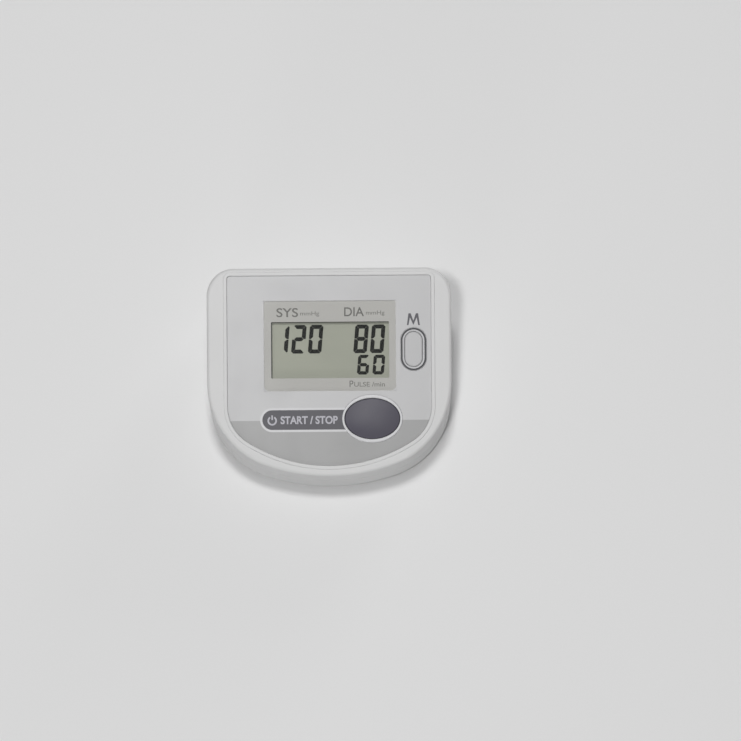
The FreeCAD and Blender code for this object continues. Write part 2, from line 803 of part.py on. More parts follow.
def add_screw_bosses(body):
    """Bosses under the case posts, with wells for the screw heads."""
    bosses = new_sketch(body, "foot_height + foot_recess")
    wells = new_sketch(body, "foot_height")
    bores = new_sketch(body, "foot_height")
    for across, back in CASE_POSTS:
        draw_circle(bosses, across, back, "boss_radius")
        draw_circle(wells, across, back, "screw_well_radius")
        draw_circle(bores, across, back, "screw_radius + slip_gap / 2")
    pad(body, bosses, "seam_height - foot_height - foot_recess")
    pocket(body, wells, "screw_well", along=True)
    pocket(body, bores, "seam_height", along=True)


def add_cradles(body):
    """Two saddles under the pump's sleeve and two ribs under the valve."""
    saddle_centre = "(head_rear + motor_length / 2)"
    reach = "(sleeve_wall + pump_radius)"
    left, right = f"pump_across - {reach} / 2", f"pump_across + {reach} / 2"
    for side in ("-1", "1"):
        front = f"({saddle_centre} + {side} * sleeve_length / 3)"
        saddle = new_sketch(body, f"-{front}", plane="XZ_Plane")
        draw_box(saddle, left, right, "foot_height + slip_gap", "pump_level")
        pad(body, saddle, "saddle_sheet", reverse=True)
    nest = new_sketch(body, "-head_rear", plane="XZ_Plane")
    draw_circle(nest, "pump_across", "pump_level", f"{reach} + slip_gap")
    pocket(body, nest, "motor_length")
    half = "(valve_size / 2 - slip_gap)"
    left, right = f"-valve_across - {half}", f"-valve_across + {half}"
    for share in ("1", "2"):
        rib = new_sketch(body, f"-(valve_front + valve_length * {share} / 3)", plane="XZ_Plane")
        draw_box(rib, left, right, "foot_height + slip_gap", "air_height - valve_size / 2")
        pad(body, rib, "saddle_sheet", reverse=True)


# ---------------------------------------------------------------------------
# Face: panel, window and buttons
# ---------------------------------------------------------------------------
def make_face_overlay():
    body = new_body("face_overlay", on_deck=True)
    outline = new_sketch(body, "-panel_recess")
    draw_shield(outline, *panel_outline("slip_gap"))
    draw_box(outline, *inset_box(WINDOW, "slip_gap"))
    ring_long = "start_long + loose_gap + start_ring_long + slip_gap"
    ring_short = "start_short + loose_gap + start_ring_short + slip_gap"
    draw_ellipse(outline, *START, ring_long, ring_short)
    draw_stadium(outline, *MEMORY, "memory_round + loose_gap + memory_ring + slip_gap", "memory_straight")
    pad(body, outline, "panel_sheet")


def make_display_window():
    body = new_body("display_window", on_deck=True)
    outline = new_sketch(body, "-panel_recess")
    draw_box(outline, *WINDOW)
    pad(body, outline, "panel_sheet")
    front, rear = number(WINDOW[2]), number(WINDOW[3])
    round_edges(body, "window_corner", lambda edge: is_corner(edge, rear))
    round_edges(body, "window_cut", lambda edge: is_corner(edge, front), kind="Chamfer")


def is_corner(edge, back):
    """True if the edge stands on end at a place along Y of the body's own frame."""
    ends = [edge.valueAt(at) for at in edge.ParameterRange]
    return abs(ends[0].z - ends[1].z) > 1e-4 and all(abs(end.y - back) < 1e-4 for end in ends)


def make_display():
    """The liquid crystal glass, the holder that clips it over the board, and its rubber contacts."""
    glass = new_body("lcd_panel", on_deck=True)
    outline = new_sketch(glass, "-glass_depth - glass_sheet")
    draw_box(outline, *GLASS)
    pad(glass, outline, "glass_sheet")
    holder = new_body("lcd_holder", on_deck=True)
    outline = new_sketch(holder, "board_top")
    draw_box(outline, *inset_box(GLASS, "holder_wall + slip_gap"))
    pad(holder, outline, "board_depth - case_wall - slip_gap")
    seat = new_sketch(holder, UNDER_DECK)
    draw_box(seat, *inset_box(GLASS, "slip_gap"))
    pocket(holder, seat, "glass_depth + glass_sheet - case_wall")
    light = new_sketch(holder, "board_top")
    draw_box(light, *inset_box(GLASS, "-2 * holder_ledge - zebra_width - slip_gap"))
    pocket(holder, light, "board_depth", along=True)
    slots = new_sketch(holder, "board_top")
    strips = []
    left, right, front, rear = GLASS
    inset = "(holder_ledge + zebra_width) / 2"
    for middle in (f"({front} + {inset})", f"({rear} - {inset})"):
        edges = [
            f"{left} + zebra_inset",
            f"{right} - zebra_inset",
            f"{middle} - zebra_width / 2",
            f"{middle} + zebra_width / 2",
        ]
        draw_box(slots, *inset_box(edges, "slip_gap"))
        strips.append(block(*edges, "board_top", "-glass_depth - glass_sheet"))
    pocket(holder, slots, "board_depth", along=True)
    keep(group(*strips), "zebra_strips", on_deck=True)


def make_start_button():
    """An oval cap with a crowned top, a flange under the deck and a stem over its switch."""
    across, up = START
    body = doc.addObject("PartDesign::Body", "start_cap")
    base = new_sketch(body, f"{UNDER_DECK} - loose_gap")
    draw_ellipse(base, across, up, "start_long", "start_short")
    pad(body, base, f"{FACE} + case_wall + loose_gap + start_rise + start_dome")
    flange = new_sketch(body, f"{UNDER_DECK} - loose_gap")
    draw_ellipse(flange, across, up, "start_long + button_flange", "start_short + button_flange")
    pad(body, flange, "button_flange", reverse=True)
    stem = new_sketch(body, f"{UNDER_DECK} - loose_gap")
    draw_circle(stem, across, up, "stem_radius")
    pad(body, stem, "board_depth - switch_height - plunger_rise - case_wall - loose_gap", reverse=True)
    crown = doc.addObject("Part::Ellipsoid", "start_crown")
    thick = "(start_dome / (1 - sqrt(1 - 1 / dome_spread^2)))"
    bind(crown, Radius1=thick, Radius2="dome_spread * start_long", Radius3="dome_spread * start_short")
    place(crown, across, up, f"{FACE} + start_rise + start_dome - {thick}")
    reach = "(2 * start_long)"
    edges = [f"{across} - {reach}", f"{across} + {reach}", f"{up} - {reach}", f"{up} + {reach}"]
    above = block(*edges, f"{FACE} + start_rise", f"{FACE} + start_rise + 2 * start_dome")
    keep(cut(body, cut(above, crown)), "start_button", on_deck=True)
    ring = new_body("start_bezel", on_deck=True)
    outline = new_sketch(ring, "-panel_recess")
    hole_long, hole_short = "start_long + loose_gap", "start_short + loose_gap"
    draw_ellipse(outline, across, up, f"{hole_long} + start_ring_long", f"{hole_short} + start_ring_short")
    draw_ellipse(outline, across, up, hole_long, hole_short)
    pad(ring, outline, "panel_recess + ring_rise")


def make_memory_button():
    """An upright cap with round ends, in a ring that stands on the deck."""
    across, up = MEMORY
    body = new_body("memory_button", on_deck=True)
    base = new_sketch(body, f"{UNDER_DECK} - loose_gap")
    draw_stadium(base, across, up, "memory_round", "memory_straight")
    pad(body, base, f"{FACE} + case_wall + loose_gap + memory_rise")
    round_edges(body, "memory_rise", lambda edge: on_level(edge, number(f"{FACE} + memory_rise")))
    flange = new_sketch(body, f"{UNDER_DECK} - loose_gap")
    draw_stadium(flange, across, up, "memory_round + button_flange", "memory_straight")
    pad(body, flange, "button_flange", reverse=True)
    stem = new_sketch(body, f"{UNDER_DECK} - loose_gap")
    draw_circle(stem, across, up, "stem_radius")
    pad(body, stem, "board_depth - switch_height - plunger_rise - case_wall - loose_gap", reverse=True)
    ring = new_body("memory_bezel", on_deck=True)
    outline = new_sketch(ring, "-panel_recess")
    draw_stadium(outline, across, up, "memory_round + loose_gap + memory_ring", "memory_straight")
    draw_stadium(outline, across, up, "memory_round + loose_gap", "memory_straight")
    pad(ring, outline, "panel_recess + ring_rise")


def make_switch(name, across, up):
    """A tactile switch on the board, and the plunger that its button presses."""
    half = "switch_size / 2"
    edges = [f"{across} - {half}", f"{across} + {half}", f"{up} - {half}", f"{up} + {half}"]
    top = "(board_top + switch_height)"
    low_end = f"({top} + plunger_rise - plunger_length)"
    spot = ("Z", across, up, "0")
    case = block(*edges, "board_top", top)
    well_end = f"{low_end} - button_travel - slip_gap"
    well = rod("plunger_radius + slip_gap / 2", well_end, f"{top} + overlap", *spot)
    keep(cut(case, well), name + "_switch", on_deck=True)
    plunger = rod("plunger_radius", low_end, f"{top} + plunger_rise", *spot)
    keep(group(plunger), name + "_plunger", on_deck=True)


# ---------------------------------------------------------------------------
# Main board and what is soldered to it
# ---------------------------------------------------------------------------
def make_board():
    body = new_body("main_board", on_deck=True)
    outline = new_sketch(body, "board_under")
    draw_box(outline, "board_left", "board_right", "board_front", "board_rear")
    for across, up in BOARD_SCREWS:
        draw_circle(outline, across, up, "board_screw_radius + slip_gap / 2")
    pad(body, outline, "board_sheet")
    screws = []
    for across, up in BOARD_SCREWS:
        spot = ("Z", across, up, "0")
        head = rod("board_head_radius", "board_under - board_head", "board_under", *spot)
        shank = rod("board_screw_radius", "board_under", "board_under + board_screw_length", *spot)
        screws.append(fuse(head, shank))
    keep(group(*screws), "board_screws", on_deck=True)
    chip_edges = ["-chip_size / 2", "chip_size / 2"] * 2
    chip = block(*chip_edges, "board_under - chip_height", "board_under")
    keep(group(chip), "microcontroller", on_deck=True)
    can_end = "board_under - capacitor_height"
    cans = [
        rod("capacitor_radius", can_end, "board_under", "Z", across, BACK_ROW, "0")
        for across in ("capacitor_across", "capacitor_across + capacitor_pitch")
    ]
    keep(group(*cans), "board_capacitors", on_deck=True)
    spot = ("Z", "-chip_size", BACK_ROW, "0")
    face = "board_under - buzzer_height"
    disc = rod("buzzer_radius", face, "board_under", *spot)
    port = rod("air_bore", f"{face} - overlap", "board_under - overlap", *spot)
    keep(cut(disc, port), "buzzer", on_deck=True)


# ---------------------------------------------------------------------------
# Battery compartment
# ---------------------------------------------------------------------------
def make_battery_cover():
    """A sliding cover: a plate with a rail along each side and an upstand that closes the rear wall."""
    body = new_body("battery_cover")
    half = "(bay_half - loose_gap)"
    front = "bay_front + loose_gap"
    plate = new_sketch(body, "foot_height")
    draw_box(plate, f"-{half}", half, front, "case_depth / 2")
    pad(body, plate, "cover_sheet")
    upstand = new_sketch(body, "foot_height")
    draw_box(upstand, f"-{half}", half, "case_depth / 2 - case_wall", "case_depth / 2")
    pad(body, upstand, "cover_upstand")
    round_edges(body, "base_edge", is_lower_rear_edge)
    rails = new_sketch(body, "foot_height + (cover_sheet - rail_sheet) / 2")
    reach = f"({half} + rail_reach)"
    draw_box(rails, f"-{reach}", reach, front, "case_depth / 2 - base_edge")
    pad(body, rails, "rail_sheet")
    grips = new_sketch(body, "foot_height")
    for step in range(GRIPS):
        front = f"bay_rear - {2 * step} * cover_sheet - cover_sheet / 2"
        draw_box(grips, "-grip_width / 2", "grip_width / 2", front, f"{front} + cover_sheet")
    pocket(body, grips, "grip_depth", along=True)


def is_lower_rear_edge(edge):
    """True for the edge where the cover's underside meets the case's rear face."""
    rear, low = number("case_depth / 2"), number("foot_height")
    ends = [edge.valueAt(at) for at in edge.ParameterRange]
    return all(abs(end.y - rear) + abs(end.z - low) < 1e-4 for end in ends)


def make_cells():
    """Four cells side by side, turned end for end, with a spring at each flat end."""
    springs = []
    front_face = "(bay_front + plate_sheet)"
    rear_face = "(bay_rear - plate_sheet)"
    for index in range(CELLS):
        line_of = ("Y", cell_place(index), "0", "cell_level")
        if index % 2:
            shoulder = f"{front_face} + nub_length"
            can = rod("cell_radius", shoulder, f"{shoulder} + cell_length", *line_of)
            nub = rod("nub_radius", front_face, shoulder, *line_of)
            start = f"{rear_face} - spring_length"
        else:
            shoulder = f"{rear_face} - nub_length"
            can = rod("cell_radius", f"{front_face} + spring_length", shoulder, *line_of)
            nub = rod("nub_radius", shoulder, rear_face, *line_of)
            start = front_face
        keep(fuse(can, nub), "aa_cell_%d" % (index + 1))
        springs.append(coil(cell_place(index), start))
    keep(group(*springs), "battery_springs")
    plates = [contact(first, last, f"{front_face} - plate_sheet") for first, last in ((0, 0), (1, 2), (3, 3))]
    plates += [contact(first, last, rear_face) for first, last in ((0, 1), (2, 3))]
    keep(group(*plates), "contact_plates")


def cell_place(index):
    """Where a cell's axis lies across the bay."""
    return f"(({index} - {(CELLS - 1) / 2}) * cell_pitch)"


def contact(first, last, front):
    """A sheet metal contact behind one cell or across two neighbours."""
    half = "plate_height / 2"
    left, right = f"{cell_place(first)} - {half}", f"{cell_place(last)} + {half}"
    low, high = f"cell_level - {half}", f"cell_level + {half}"
    return block(left, right, front, f"{front} + plate_sheet", low, high)


def coil(across, start):
    """A compression spring along Y, wound from round wire; its line is drawn turn by turn."""
    rise = "(spring_length - 2 * spring_wire)"
    helix = doc.addObject("Part::Helix", "spring_line")
    helix.Placement = FreeCAD.Placement(FreeCAD.Vector(0, 0, 0), TURNS["Y"])
    helix.SegmentLength = 1
    bind(helix, Radius="spring_radius", Height=rise, Pitch=f"{rise} / spring_turns")
    place(helix, across, f"{start} + spring_wire", "cell_level")
    wire = doc.addObject("Part::Circle", "spring_section")
    wire.Placement = FreeCAD.Placement(FreeCAD.Vector(0, 0, 0), TURNS["Z"])
    bind(wire, Radius="spring_wire")
    place(wire, f"{across} + spring_radius", f"{start} + spring_wire", "cell_level")
    doc.recompute()
    sweep = doc.addObject("Part::Sweep", "spring")
    sweep.Sections = [wire]
    sweep.Spine = (helix, ["Edge%d" % (i + 1) for i in range(len(helix.Shape.Edges))])
    sweep.Solid = True
    sweep.Frenet = True
    return sweep


# ---------------------------------------------------------------------------
# Air system: pump, valve, pressure sensor, socket and tubes
# ---------------------------------------------------------------------------
def make_pump():
    """A small motor with a diaphragm pump head on its front end, held in a rubber sleeve."""
    centre = ("Y", "pump_across", "0", "pump_level")
    half_way = "head_rear - head_length / 2"
    can = rod("pump_radius - motor_wall", "head_rear", "motor_rear", *centre)
    inner_ends = ("head_rear + motor_wall", "motor_rear - motor_wall")
    inside = rod("pump_radius - 2 * motor_wall", *inner_ends, *centre)
    bearing = rod("shaft_radius + slip_gap / 2", "head_rear - overlap", "motor_rear + overlap", *centre)
    keep(cut(can, inside, bearing), "pump_motor")
    armature = rod("rotor_radius", "head_rear + 3 * motor_wall", "motor_rear - 3 * motor_wall", *centre)
    shaft = rod("shaft_radius", half_way, "motor_rear", *centre)
    beside = ("Y", "pump_across + shaft_radius / 2", "0", "pump_level")
    crank = rod("2 * shaft_radius", half_way, "head_rear - head_length / 4", *beside)
    keep(fuse(armature, shaft, crank), "motor_rotor")
    head = rod("pump_radius", "pump_front", "head_rear", *centre)
    sideways = ("X", "0", "socket_back", "air_height")
    outlet = rod("barb_radius", "pump_across - pump_radius - barb_length / 2", "pump_across", *sideways)
    room_end = "head_rear - 2 * head_length / 3"
    crank_room = rod("pump_radius / 2", room_end, "head_rear - 2 * motor_wall", *centre)
    shaft_room = rod("2 * shaft_radius", half_way, "head_rear + overlap", *centre)
    passage = rod("air_bore", "pump_across - 2 * pump_radius", "pump_across", *sideways)
    keep(cut(fuse(head, outlet), crank_room, shaft_room, passage), "pump_head")
    middle = "(head_rear + motor_length / 2)"
    ends = (f"{middle} - sleeve_length / 2", f"{middle} + sleeve_length / 2")
    sleeve = rod("pump_radius + sleeve_wall", *ends, *centre)
    inner = rod("pump_radius - motor_wall", f"{middle} - sleeve_length", f"{middle} + sleeve_length", *centre)
    keep(cut(sleeve, inner), "pump_sleeve")


def make_socket():
    """The socket for the cuff's air plug, with three barbs on the chamber behind it."""
    line_of = ("X", "0", "socket_back", "air_height")
    flange = rod("flange_radius", "socket_wall", "socket_wall + flange_sheet", *line_of)
    chamber = rod("socket_radius", "socket_wall", "socket_end", *line_of)
    bore = rod("plug_bore", "socket_wall - overlap", "socket_wall + plug_depth", *line_of)
    duct = rod("air_bore", "socket_wall + overlap", "socket_end + 2 * barb_length", *line_of)
    pump_barb = rod("barb_radius", "socket_end - overlap", "socket_end + barb_length", *line_of)
    to_valve = ("Y", "-valve_across", "0", "air_height")
    to_sensor = ("Y", "-sensor_across", "0", "air_height")
    edge = "(socket_radius + barb_length)"
    valve_barb = rod("barb_radius", "socket_back", f"socket_back + {edge}", *to_valve)
    valve_duct = rod("branch_bore", "socket_back", f"socket_back + {edge} + overlap", *to_valve)
    sensor_barb = rod("barb_radius", f"socket_back - {edge}", "socket_back", *to_sensor)
    sensor_duct = rod("branch_bore", f"socket_back - {edge} - overlap", "socket_back", *to_sensor)
    body = fuse(flange, chamber, pump_barb, valve_barb, sensor_barb)
    keep(cut(body, bore, duct, valve_duct, sensor_duct), "air_socket")


def make_valve():
    """A solenoid valve that lets the cuff down; its plunger closes the air way."""
    half = "valve_size / 2"
    line_of = ("Y", "-valve_across", "0", "air_height")
    nose = "valve_front - barb_length"
    seat = "valve_front + valve_wall"
    rear = "valve_front + valve_length"
    left, right = f"-valve_across - {half}", f"-valve_across + {half}"
    case = block(left, right, "valve_front", rear, f"air_height - {half}", f"air_height + {half}")
    nozzle = rod("barb_radius", nose, seat, *line_of)
    duct = rod("air_bore", f"{nose} - overlap", seat, *line_of)
    bore = rod("valve_pin + slip_gap / 2", seat, f"{rear} + overlap", *line_of)
    keep(cut(fuse(case, nozzle), duct, bore), "exhaust_valve")
    keep(rod("valve_pin", f"{seat} + slip_gap", f"{rear} + valve_stroke", *line_of), "valve_plunger")


def make_sensor():
    """The pressure sensor under the board, with its port along the board towards the rear."""
    across = "-sensor_across"
    rear = "(port_end - barb_bare)"
    front = f"({rear} - sensor_width)"
    left, right = f"{across} - sensor_width / 2", f"{across} + sensor_width / 2"
    line_of = ("Y", across, "0", "port_level")
    case = block(left, right, front, rear, "board_under - sensor_height", "board_under")
    port = rod("barb_radius", f"{rear} - overlap", f"{rear} + barb_length", *line_of)
    duct = rod("air_bore", f"{rear} - 2 * overlap", f"{rear} + barb_length + overlap", *line_of)
    keep(cut(fuse(case, port), duct), "pressure_sensor", on_deck=True)


def straight_tube(label, start, end, axis, across, back):
    outer = rod("tube_radius", start, end, axis, across, back, "air_height")
    ends = (f"{start} - overlap", f"{end} + overlap")
    inner = rod("barb_radius + slip_gap / 2", *ends, axis, across, back, "air_height")
    keep(cut(outer, inner), label)


def make_tubes():
    """Silicone tubes pushed over the barbs."""
    pump_start = "(socket_end + barb_bare)"
    straight_tube("pump_tube", pump_start, "pump_across - pump_radius + slip_gap", "X", "0", "socket_back")
    valve_start = "(socket_back + socket_radius + barb_bare)"
    straight_tube("valve_tube", valve_start, "valve_front - barb_bare", "Y", "-valve_across", "0")
    make_sensor_tube()


def make_sensor_tube():
    """The tube from the socket to the sensor: two straight runs and the bend between them."""
    body = new_body("sensor_tube")
    start_back = "(socket_back - socket_radius - barb_bare)"
    end_back = "(bend_corner - port_run)"
    end_height = "(air_height - port_run * tan(deck_tilt))"
    reach_out = "(bend_share * bend_room)"
    bend = f"({reach_out} / tan(deck_tilt / 2))"
    tilt = math.radians(number("deck_tilt"))
    reach = number(reach_out)
    turn_y, level, radius = number("bend_corner"), number("air_height"), number(bend)
    low_end = (turn_y - reach * math.cos(tilt), level - reach * math.sin(tilt))
    path = new_sketch(body, "-sensor_across", plane="YZ_Plane")
    path.addGeometry(line((number(start_back), level), (turn_y + reach, level)), False)
    path.addGeometry(arc(turn_y + reach, level - radius, radius, math.pi / 2, math.pi / 2 + tilt), False)
    path.addGeometry(line((number(end_back), number(end_height)), low_end), False)
    join(path, "Tangent", [(0, 2, 1, 1), (1, 2, 2, 2)])
    join(path, "Horizontal", [(0,)])
    dimension(path, "Radius", bend, 1)
    dimension(path, "DistanceX", start_back, -1, 1, 0, 1)
    dimension(path, "DistanceY", "air_height", -1, 1, 0, 1)
    dimension(path, "DistanceX", end_back, -1, 1, 2, 1)
    dimension(path, "DistanceY", end_height, -1, 1, 2, 1)
    ring = new_sketch(body, f"-{start_back}", plane="XZ_Plane")
    draw_circle(ring, "-sensor_across", "air_height", "tube_radius")
    draw_circle(ring, "-sensor_across", "air_height", "barb_radius + slip_gap / 2")
    sweep = body.newObject("PartDesign::AdditivePipe", "sensor_tube_sweep")
    sweep.Profile = ring
    sweep.Spine = path
    doc.recompute()


# ---------------------------------------------------------------------------
# Mains adapter inlet, fasteners and feet
# ---------------------------------------------------------------------------
def make_jack():
    """The inlet for the adapter's round plug: a block on the floor with a collar in the rear wall."""
    rear = "(case_depth / 2 - base_edge - slip_gap)"
    line_of = ("Y", "-jack_across", "0", "jack_level")
    left, right = "-jack_across - jack_width / 2", "-jack_across + jack_width / 2"
    bore_end = "case_depth / 2 - jack_bore_depth"
    case = block(left, right, f"{rear} - jack_length", rear, "floor", "floor + jack_height")
    collar = rod("jack_collar", f"{rear} - overlap", "case_depth / 2", *line_of)
    bore = rod("jack_bore", bore_end, "case_depth / 2 + overlap", *line_of)
    pin = rod("jack_pin", f"{bore_end} - overlap", "case_depth / 2 - pin_inset", *line_of)
    keep(fuse(cut(fuse(case, collar), bore), pin), "dc_jack")


def make_fasteners():
    """Self-tapping screws up through the lower case, and the rubber feet."""
    seat = "(foot_height + screw_well)"
    screws = []
    for across, back in CASE_POSTS:
        head = rod("screw_head_radius", f"{seat} - screw_head", seat, "Z", across, back, "0")
        shank = rod("screw_radius", seat, f"{seat} + screw_length", "Z", across, back, "0")
        screws.append(fuse(head, shank))
    keep(group(*screws), "case_screws")
    foot_top = "foot_height + foot_recess"
    feet = [rod("foot_radius", "0", foot_top, "Z", across, back, "0") for across, back in FEET]
    keep(group(*feet), "rubber_feet")


# ---------------------------------------------------------------------------
# Assembly of the document
# ---------------------------------------------------------------------------
make_upper_case()
make_lower_case()
make_face_overlay()
make_display_window()
make_display()
make_start_button()
make_memory_button()
make_switch("start", *START)
make_switch("memory", *MEMORY)
make_board()
make_battery_cover()
make_cells()
make_pump()
make_socket()
make_valve()
make_sensor()
make_tubes()
make_jack()
make_fasteners()

doc.recompute()
for thing in doc.Objects:
    if "Invalid" in thing.State or "Error" in thing.State:
        raise RuntimeError("%s did not rebuild: %s" % (thing.Name, thing.State))
os.makedirs("parts", exist_ok=True)
for piece in NODES:
    if piece.Shape.isNull() or not piece.Shape.isValid():
        raise RuntimeError(piece.Label + " has no sound shape")
    piece.Shape.exportStep("parts/%s.step" % piece.Label)
    print("%-20s %2d solids %9.1f mm3" % (piece.Label, len(piece.Shape.Solids), piece.Shape.Volume))
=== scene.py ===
"""Desktop blood pressure monitor, dressed round its CAD frame.

The sections follow the monitor as it is put together: the tray and what lies in it, the board and
its display, the deck with its printed face, and the buttons. Sizes are in millimetres. Pieces of
the face are drawn flat, X across and Y up the slope, and then laid on the deck.
"""

import math
import bmesh
import bpy
from mathutils import Matrix, Vector


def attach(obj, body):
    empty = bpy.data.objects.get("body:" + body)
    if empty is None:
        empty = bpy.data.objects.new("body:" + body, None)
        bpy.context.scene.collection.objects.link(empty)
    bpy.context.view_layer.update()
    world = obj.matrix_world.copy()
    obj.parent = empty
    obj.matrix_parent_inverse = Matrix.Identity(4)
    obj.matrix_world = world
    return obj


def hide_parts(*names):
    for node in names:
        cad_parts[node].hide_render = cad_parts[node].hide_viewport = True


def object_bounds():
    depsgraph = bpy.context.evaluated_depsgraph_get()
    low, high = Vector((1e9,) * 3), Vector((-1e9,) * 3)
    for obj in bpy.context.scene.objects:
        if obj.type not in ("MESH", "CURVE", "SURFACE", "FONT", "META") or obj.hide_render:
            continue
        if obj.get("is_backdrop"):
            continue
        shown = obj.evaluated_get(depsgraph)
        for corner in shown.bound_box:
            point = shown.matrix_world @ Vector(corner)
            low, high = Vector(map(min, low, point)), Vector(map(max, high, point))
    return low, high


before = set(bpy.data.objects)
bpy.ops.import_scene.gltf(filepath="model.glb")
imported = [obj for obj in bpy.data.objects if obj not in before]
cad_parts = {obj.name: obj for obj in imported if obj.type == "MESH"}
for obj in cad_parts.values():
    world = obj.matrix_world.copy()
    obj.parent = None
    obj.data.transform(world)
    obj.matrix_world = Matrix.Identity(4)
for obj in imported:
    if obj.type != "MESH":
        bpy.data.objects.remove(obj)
cad_box = [list(corner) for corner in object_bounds()]


# --- Lower case -------------------------------------------------------------------------------
# The tray of the housing, injection moulded in white ABS from a spark-eroded tool, with the
# battery bay, screw posts and pump cradle moulded in. It carries everything else.
def tint(red, green, blue):
    """Linear colour of an eight-bit screen colour."""
    return tuple(((level / 255 + 0.055) / 1.055) ** 2.4 for level in (red, green, blue)) + (1.0,)


def add(tree, kind, inputs=None, **settings):
    """A new node with its settings made and its inputs set or wired; returns its outputs."""
    node = tree.nodes.new("ShaderNode" + kind)
    for name, value in settings.items():
        setattr(node, name, value)
    for key, value in (inputs or {}).items():
        if isinstance(value, bpy.types.NodeSocket):
            tree.links.new(value, node.inputs[key])
        else:
            node.inputs[key].default_value = value
    return node.outputs


def reckon(tree, operation, *values):
    return add(tree, "Math", dict(enumerate(values)), operation=operation)[0]


def spread(tree, value, low, high, first=0.0, last=1.0):
    """Bring a value from one range to another and hold it inside."""
    ends = {"Value": value, "From Min": low, "From Max": high, "To Min": first, "To Max": last}
    return add(tree, "MapRange", ends)[0]


def mingle(tree, share, first, second, how="MIX"):
    return add(tree, "Mix", {0: share, 6: first, 7: second}, data_type="RGBA", blend_type=how)[2]


def noise(tree, where, scale, detail=2.0):
    return add(tree, "TexNoise", {"Vector": where, "Scale": scale, "Detail": detail})[0]


def effect(name, takes, gives):
    """An empty node group with named inputs and outputs."""
    tree = bpy.data.node_groups.new(name, "ShaderNodeTree")
    for label, start in takes.items():
        kind = "NodeSocketColor" if isinstance(start, tuple) else "NodeSocketFloat"
        socket = tree.interface.new_socket(name=label, in_out="INPUT", socket_type=kind)
        socket.default_value = start
    for label in gives:
        kind = "NodeSocketColor" if label == "Color" else "NodeSocketFloat"
        tree.interface.new_socket(name=label, in_out="OUTPUT", socket_type=kind)
    return tree, tree.nodes.new("NodeGroupInput").outputs, tree.nodes.new("NodeGroupOutput").inputs


# The scales of grain and marks count their cells in a metre; a hairline has a turn and a stretch.
MELT_CLOUDS, SMUDGES, SPECKS, HAZE = 26.0, 34.0, 1500.0, 60.0
HAIRLINES = ((0.5, (1300.0, 22.0, 160.0)), (-0.9, (1100.0, 18.0, 160.0)))

# Tool texture: a fine grain in the surface and a faint unevenness of colour from the melt.
moulded_grain, takes, gives = effect(
    "moulded_grain",
    {"Color": tint(200, 200, 200), "Grain": 2400.0, "Mottle": 0.03},
    ("Color", "Roughness", "Height"),
)
where = add(moulded_grain, "TexCoord")["Object"]
fine = noise(moulded_grain, where, takes["Grain"], 3.0)
cloudy = noise(moulded_grain, where, MELT_CLOUDS, 3.0)
darkest = reckon(moulded_grain, "SUBTRACT", 1.0, takes["Mottle"])
shade = spread(moulded_grain, cloudy, 0.3, 0.7, darkest, 1.0)
clouded = mingle(moulded_grain, 1.0, takes["Color"], shade, "MULTIPLY")
moulded_grain.links.new(clouded, gives["Color"])
moulded_grain.links.new(spread(moulded_grain, fine, 0.3, 0.7, -0.03, 0.05), gives["Roughness"])
moulded_grain.links.new(fine, gives["Height"])

# Marks of handling: dull smudges from fingers and a few hairline scratches.
handling_marks, takes, gives = effect(
    "handling_marks", {"Roughness": 0.45, "Marks": 0.4}, ("Roughness", "Height")
)
where = add(handling_marks, "TexCoord")["Object"]
smudge = spread(handling_marks, noise(handling_marks, where, SMUDGES, 5.0), 0.48, 0.72, 0.0, 0.12)
hairs = []
for turn, stretch in HAIRLINES:
    lines = add(handling_marks, "Mapping", {0: where, 2: (0.0, 0.0, turn), 3: stretch})[0]
    hairs.append(spread(handling_marks, noise(handling_marks, lines, 1.0, 1.0), 0.7, 0.78))
scratch = reckon(handling_marks, "MAXIMUM", *hairs)
worn = reckon(handling_marks, "SUBTRACT", smudge, reckon(handling_marks, "MULTIPLY", scratch, 0.1))
shift = reckon(handling_marks, "MULTIPLY", worn, takes["Marks"])
handling_marks.links.new(reckon(handling_marks, "ADD", takes["Roughness"], shift), gives["Roughness"])
dug = reckon(handling_marks, "MULTIPLY", scratch, takes["Marks"])
handling_marks.links.new(reckon(handling_marks, "MULTIPLY", dug, -0.5), gives["Height"])

# Dust that has settled on what faces up.
settled_dust, takes, gives = effect(
    "settled_dust", {"Color": tint(200, 200, 200), "Dust": 0.1}, ("Color", "Roughness")
)
facing = add(settled_dust, "SeparateXYZ", {0: add(settled_dust, "NewGeometry")["Normal"]})["Z"]
where = add(settled_dust, "TexCoord")["Object"]
specks = spread(settled_dust, noise(settled_dust, where, SPECKS, 2.0), 0.66, 0.76)
haze = spread(settled_dust, noise(settled_dust, where, HAZE, 4.0), 0.35, 0.75, 0.0, 0.4)
lying = reckon(settled_dust, "MULTIPLY", spread(settled_dust, facing, 0.6, 1.0), takes["Dust"])
dusty = reckon(settled_dust, "MULTIPLY", reckon(settled_dust, "MAXIMUM", specks, haze), lying)
powdered = mingle(settled_dust, dusty, takes["Color"], tint(186, 181, 172))
settled_dust.links.new(powdered, gives["Color"])
settled_dust.links.new(reckon(settled_dust, "MULTIPLY", dusty, 0.3), gives["Roughness"])


def surface(name, constants=None):
    """A new material: returns it, its node tree and its shader with the constant settings made."""
    material = bpy.data.materials.new(name)
    material.use_nodes = True
    shader = material.node_tree.nodes["Principled BSDF"]
    for socket, value in (constants or {}).items():
        shader.inputs[socket].default_value = value
    return material, material.node_tree, shader


def wire(tree, shader, sources):
    """Bring what varies over the surface to the shader."""
    for name, source in sources.items():
        tree.links.new(source, shader.inputs[name])


def emboss(tree, height, depth):
    """The normals of a surface with this relief, its depth in millimetres."""
    return add(tree, "Bump", {"Height": height, "Distance": depth / 1000, "Strength": 1.0})[0]


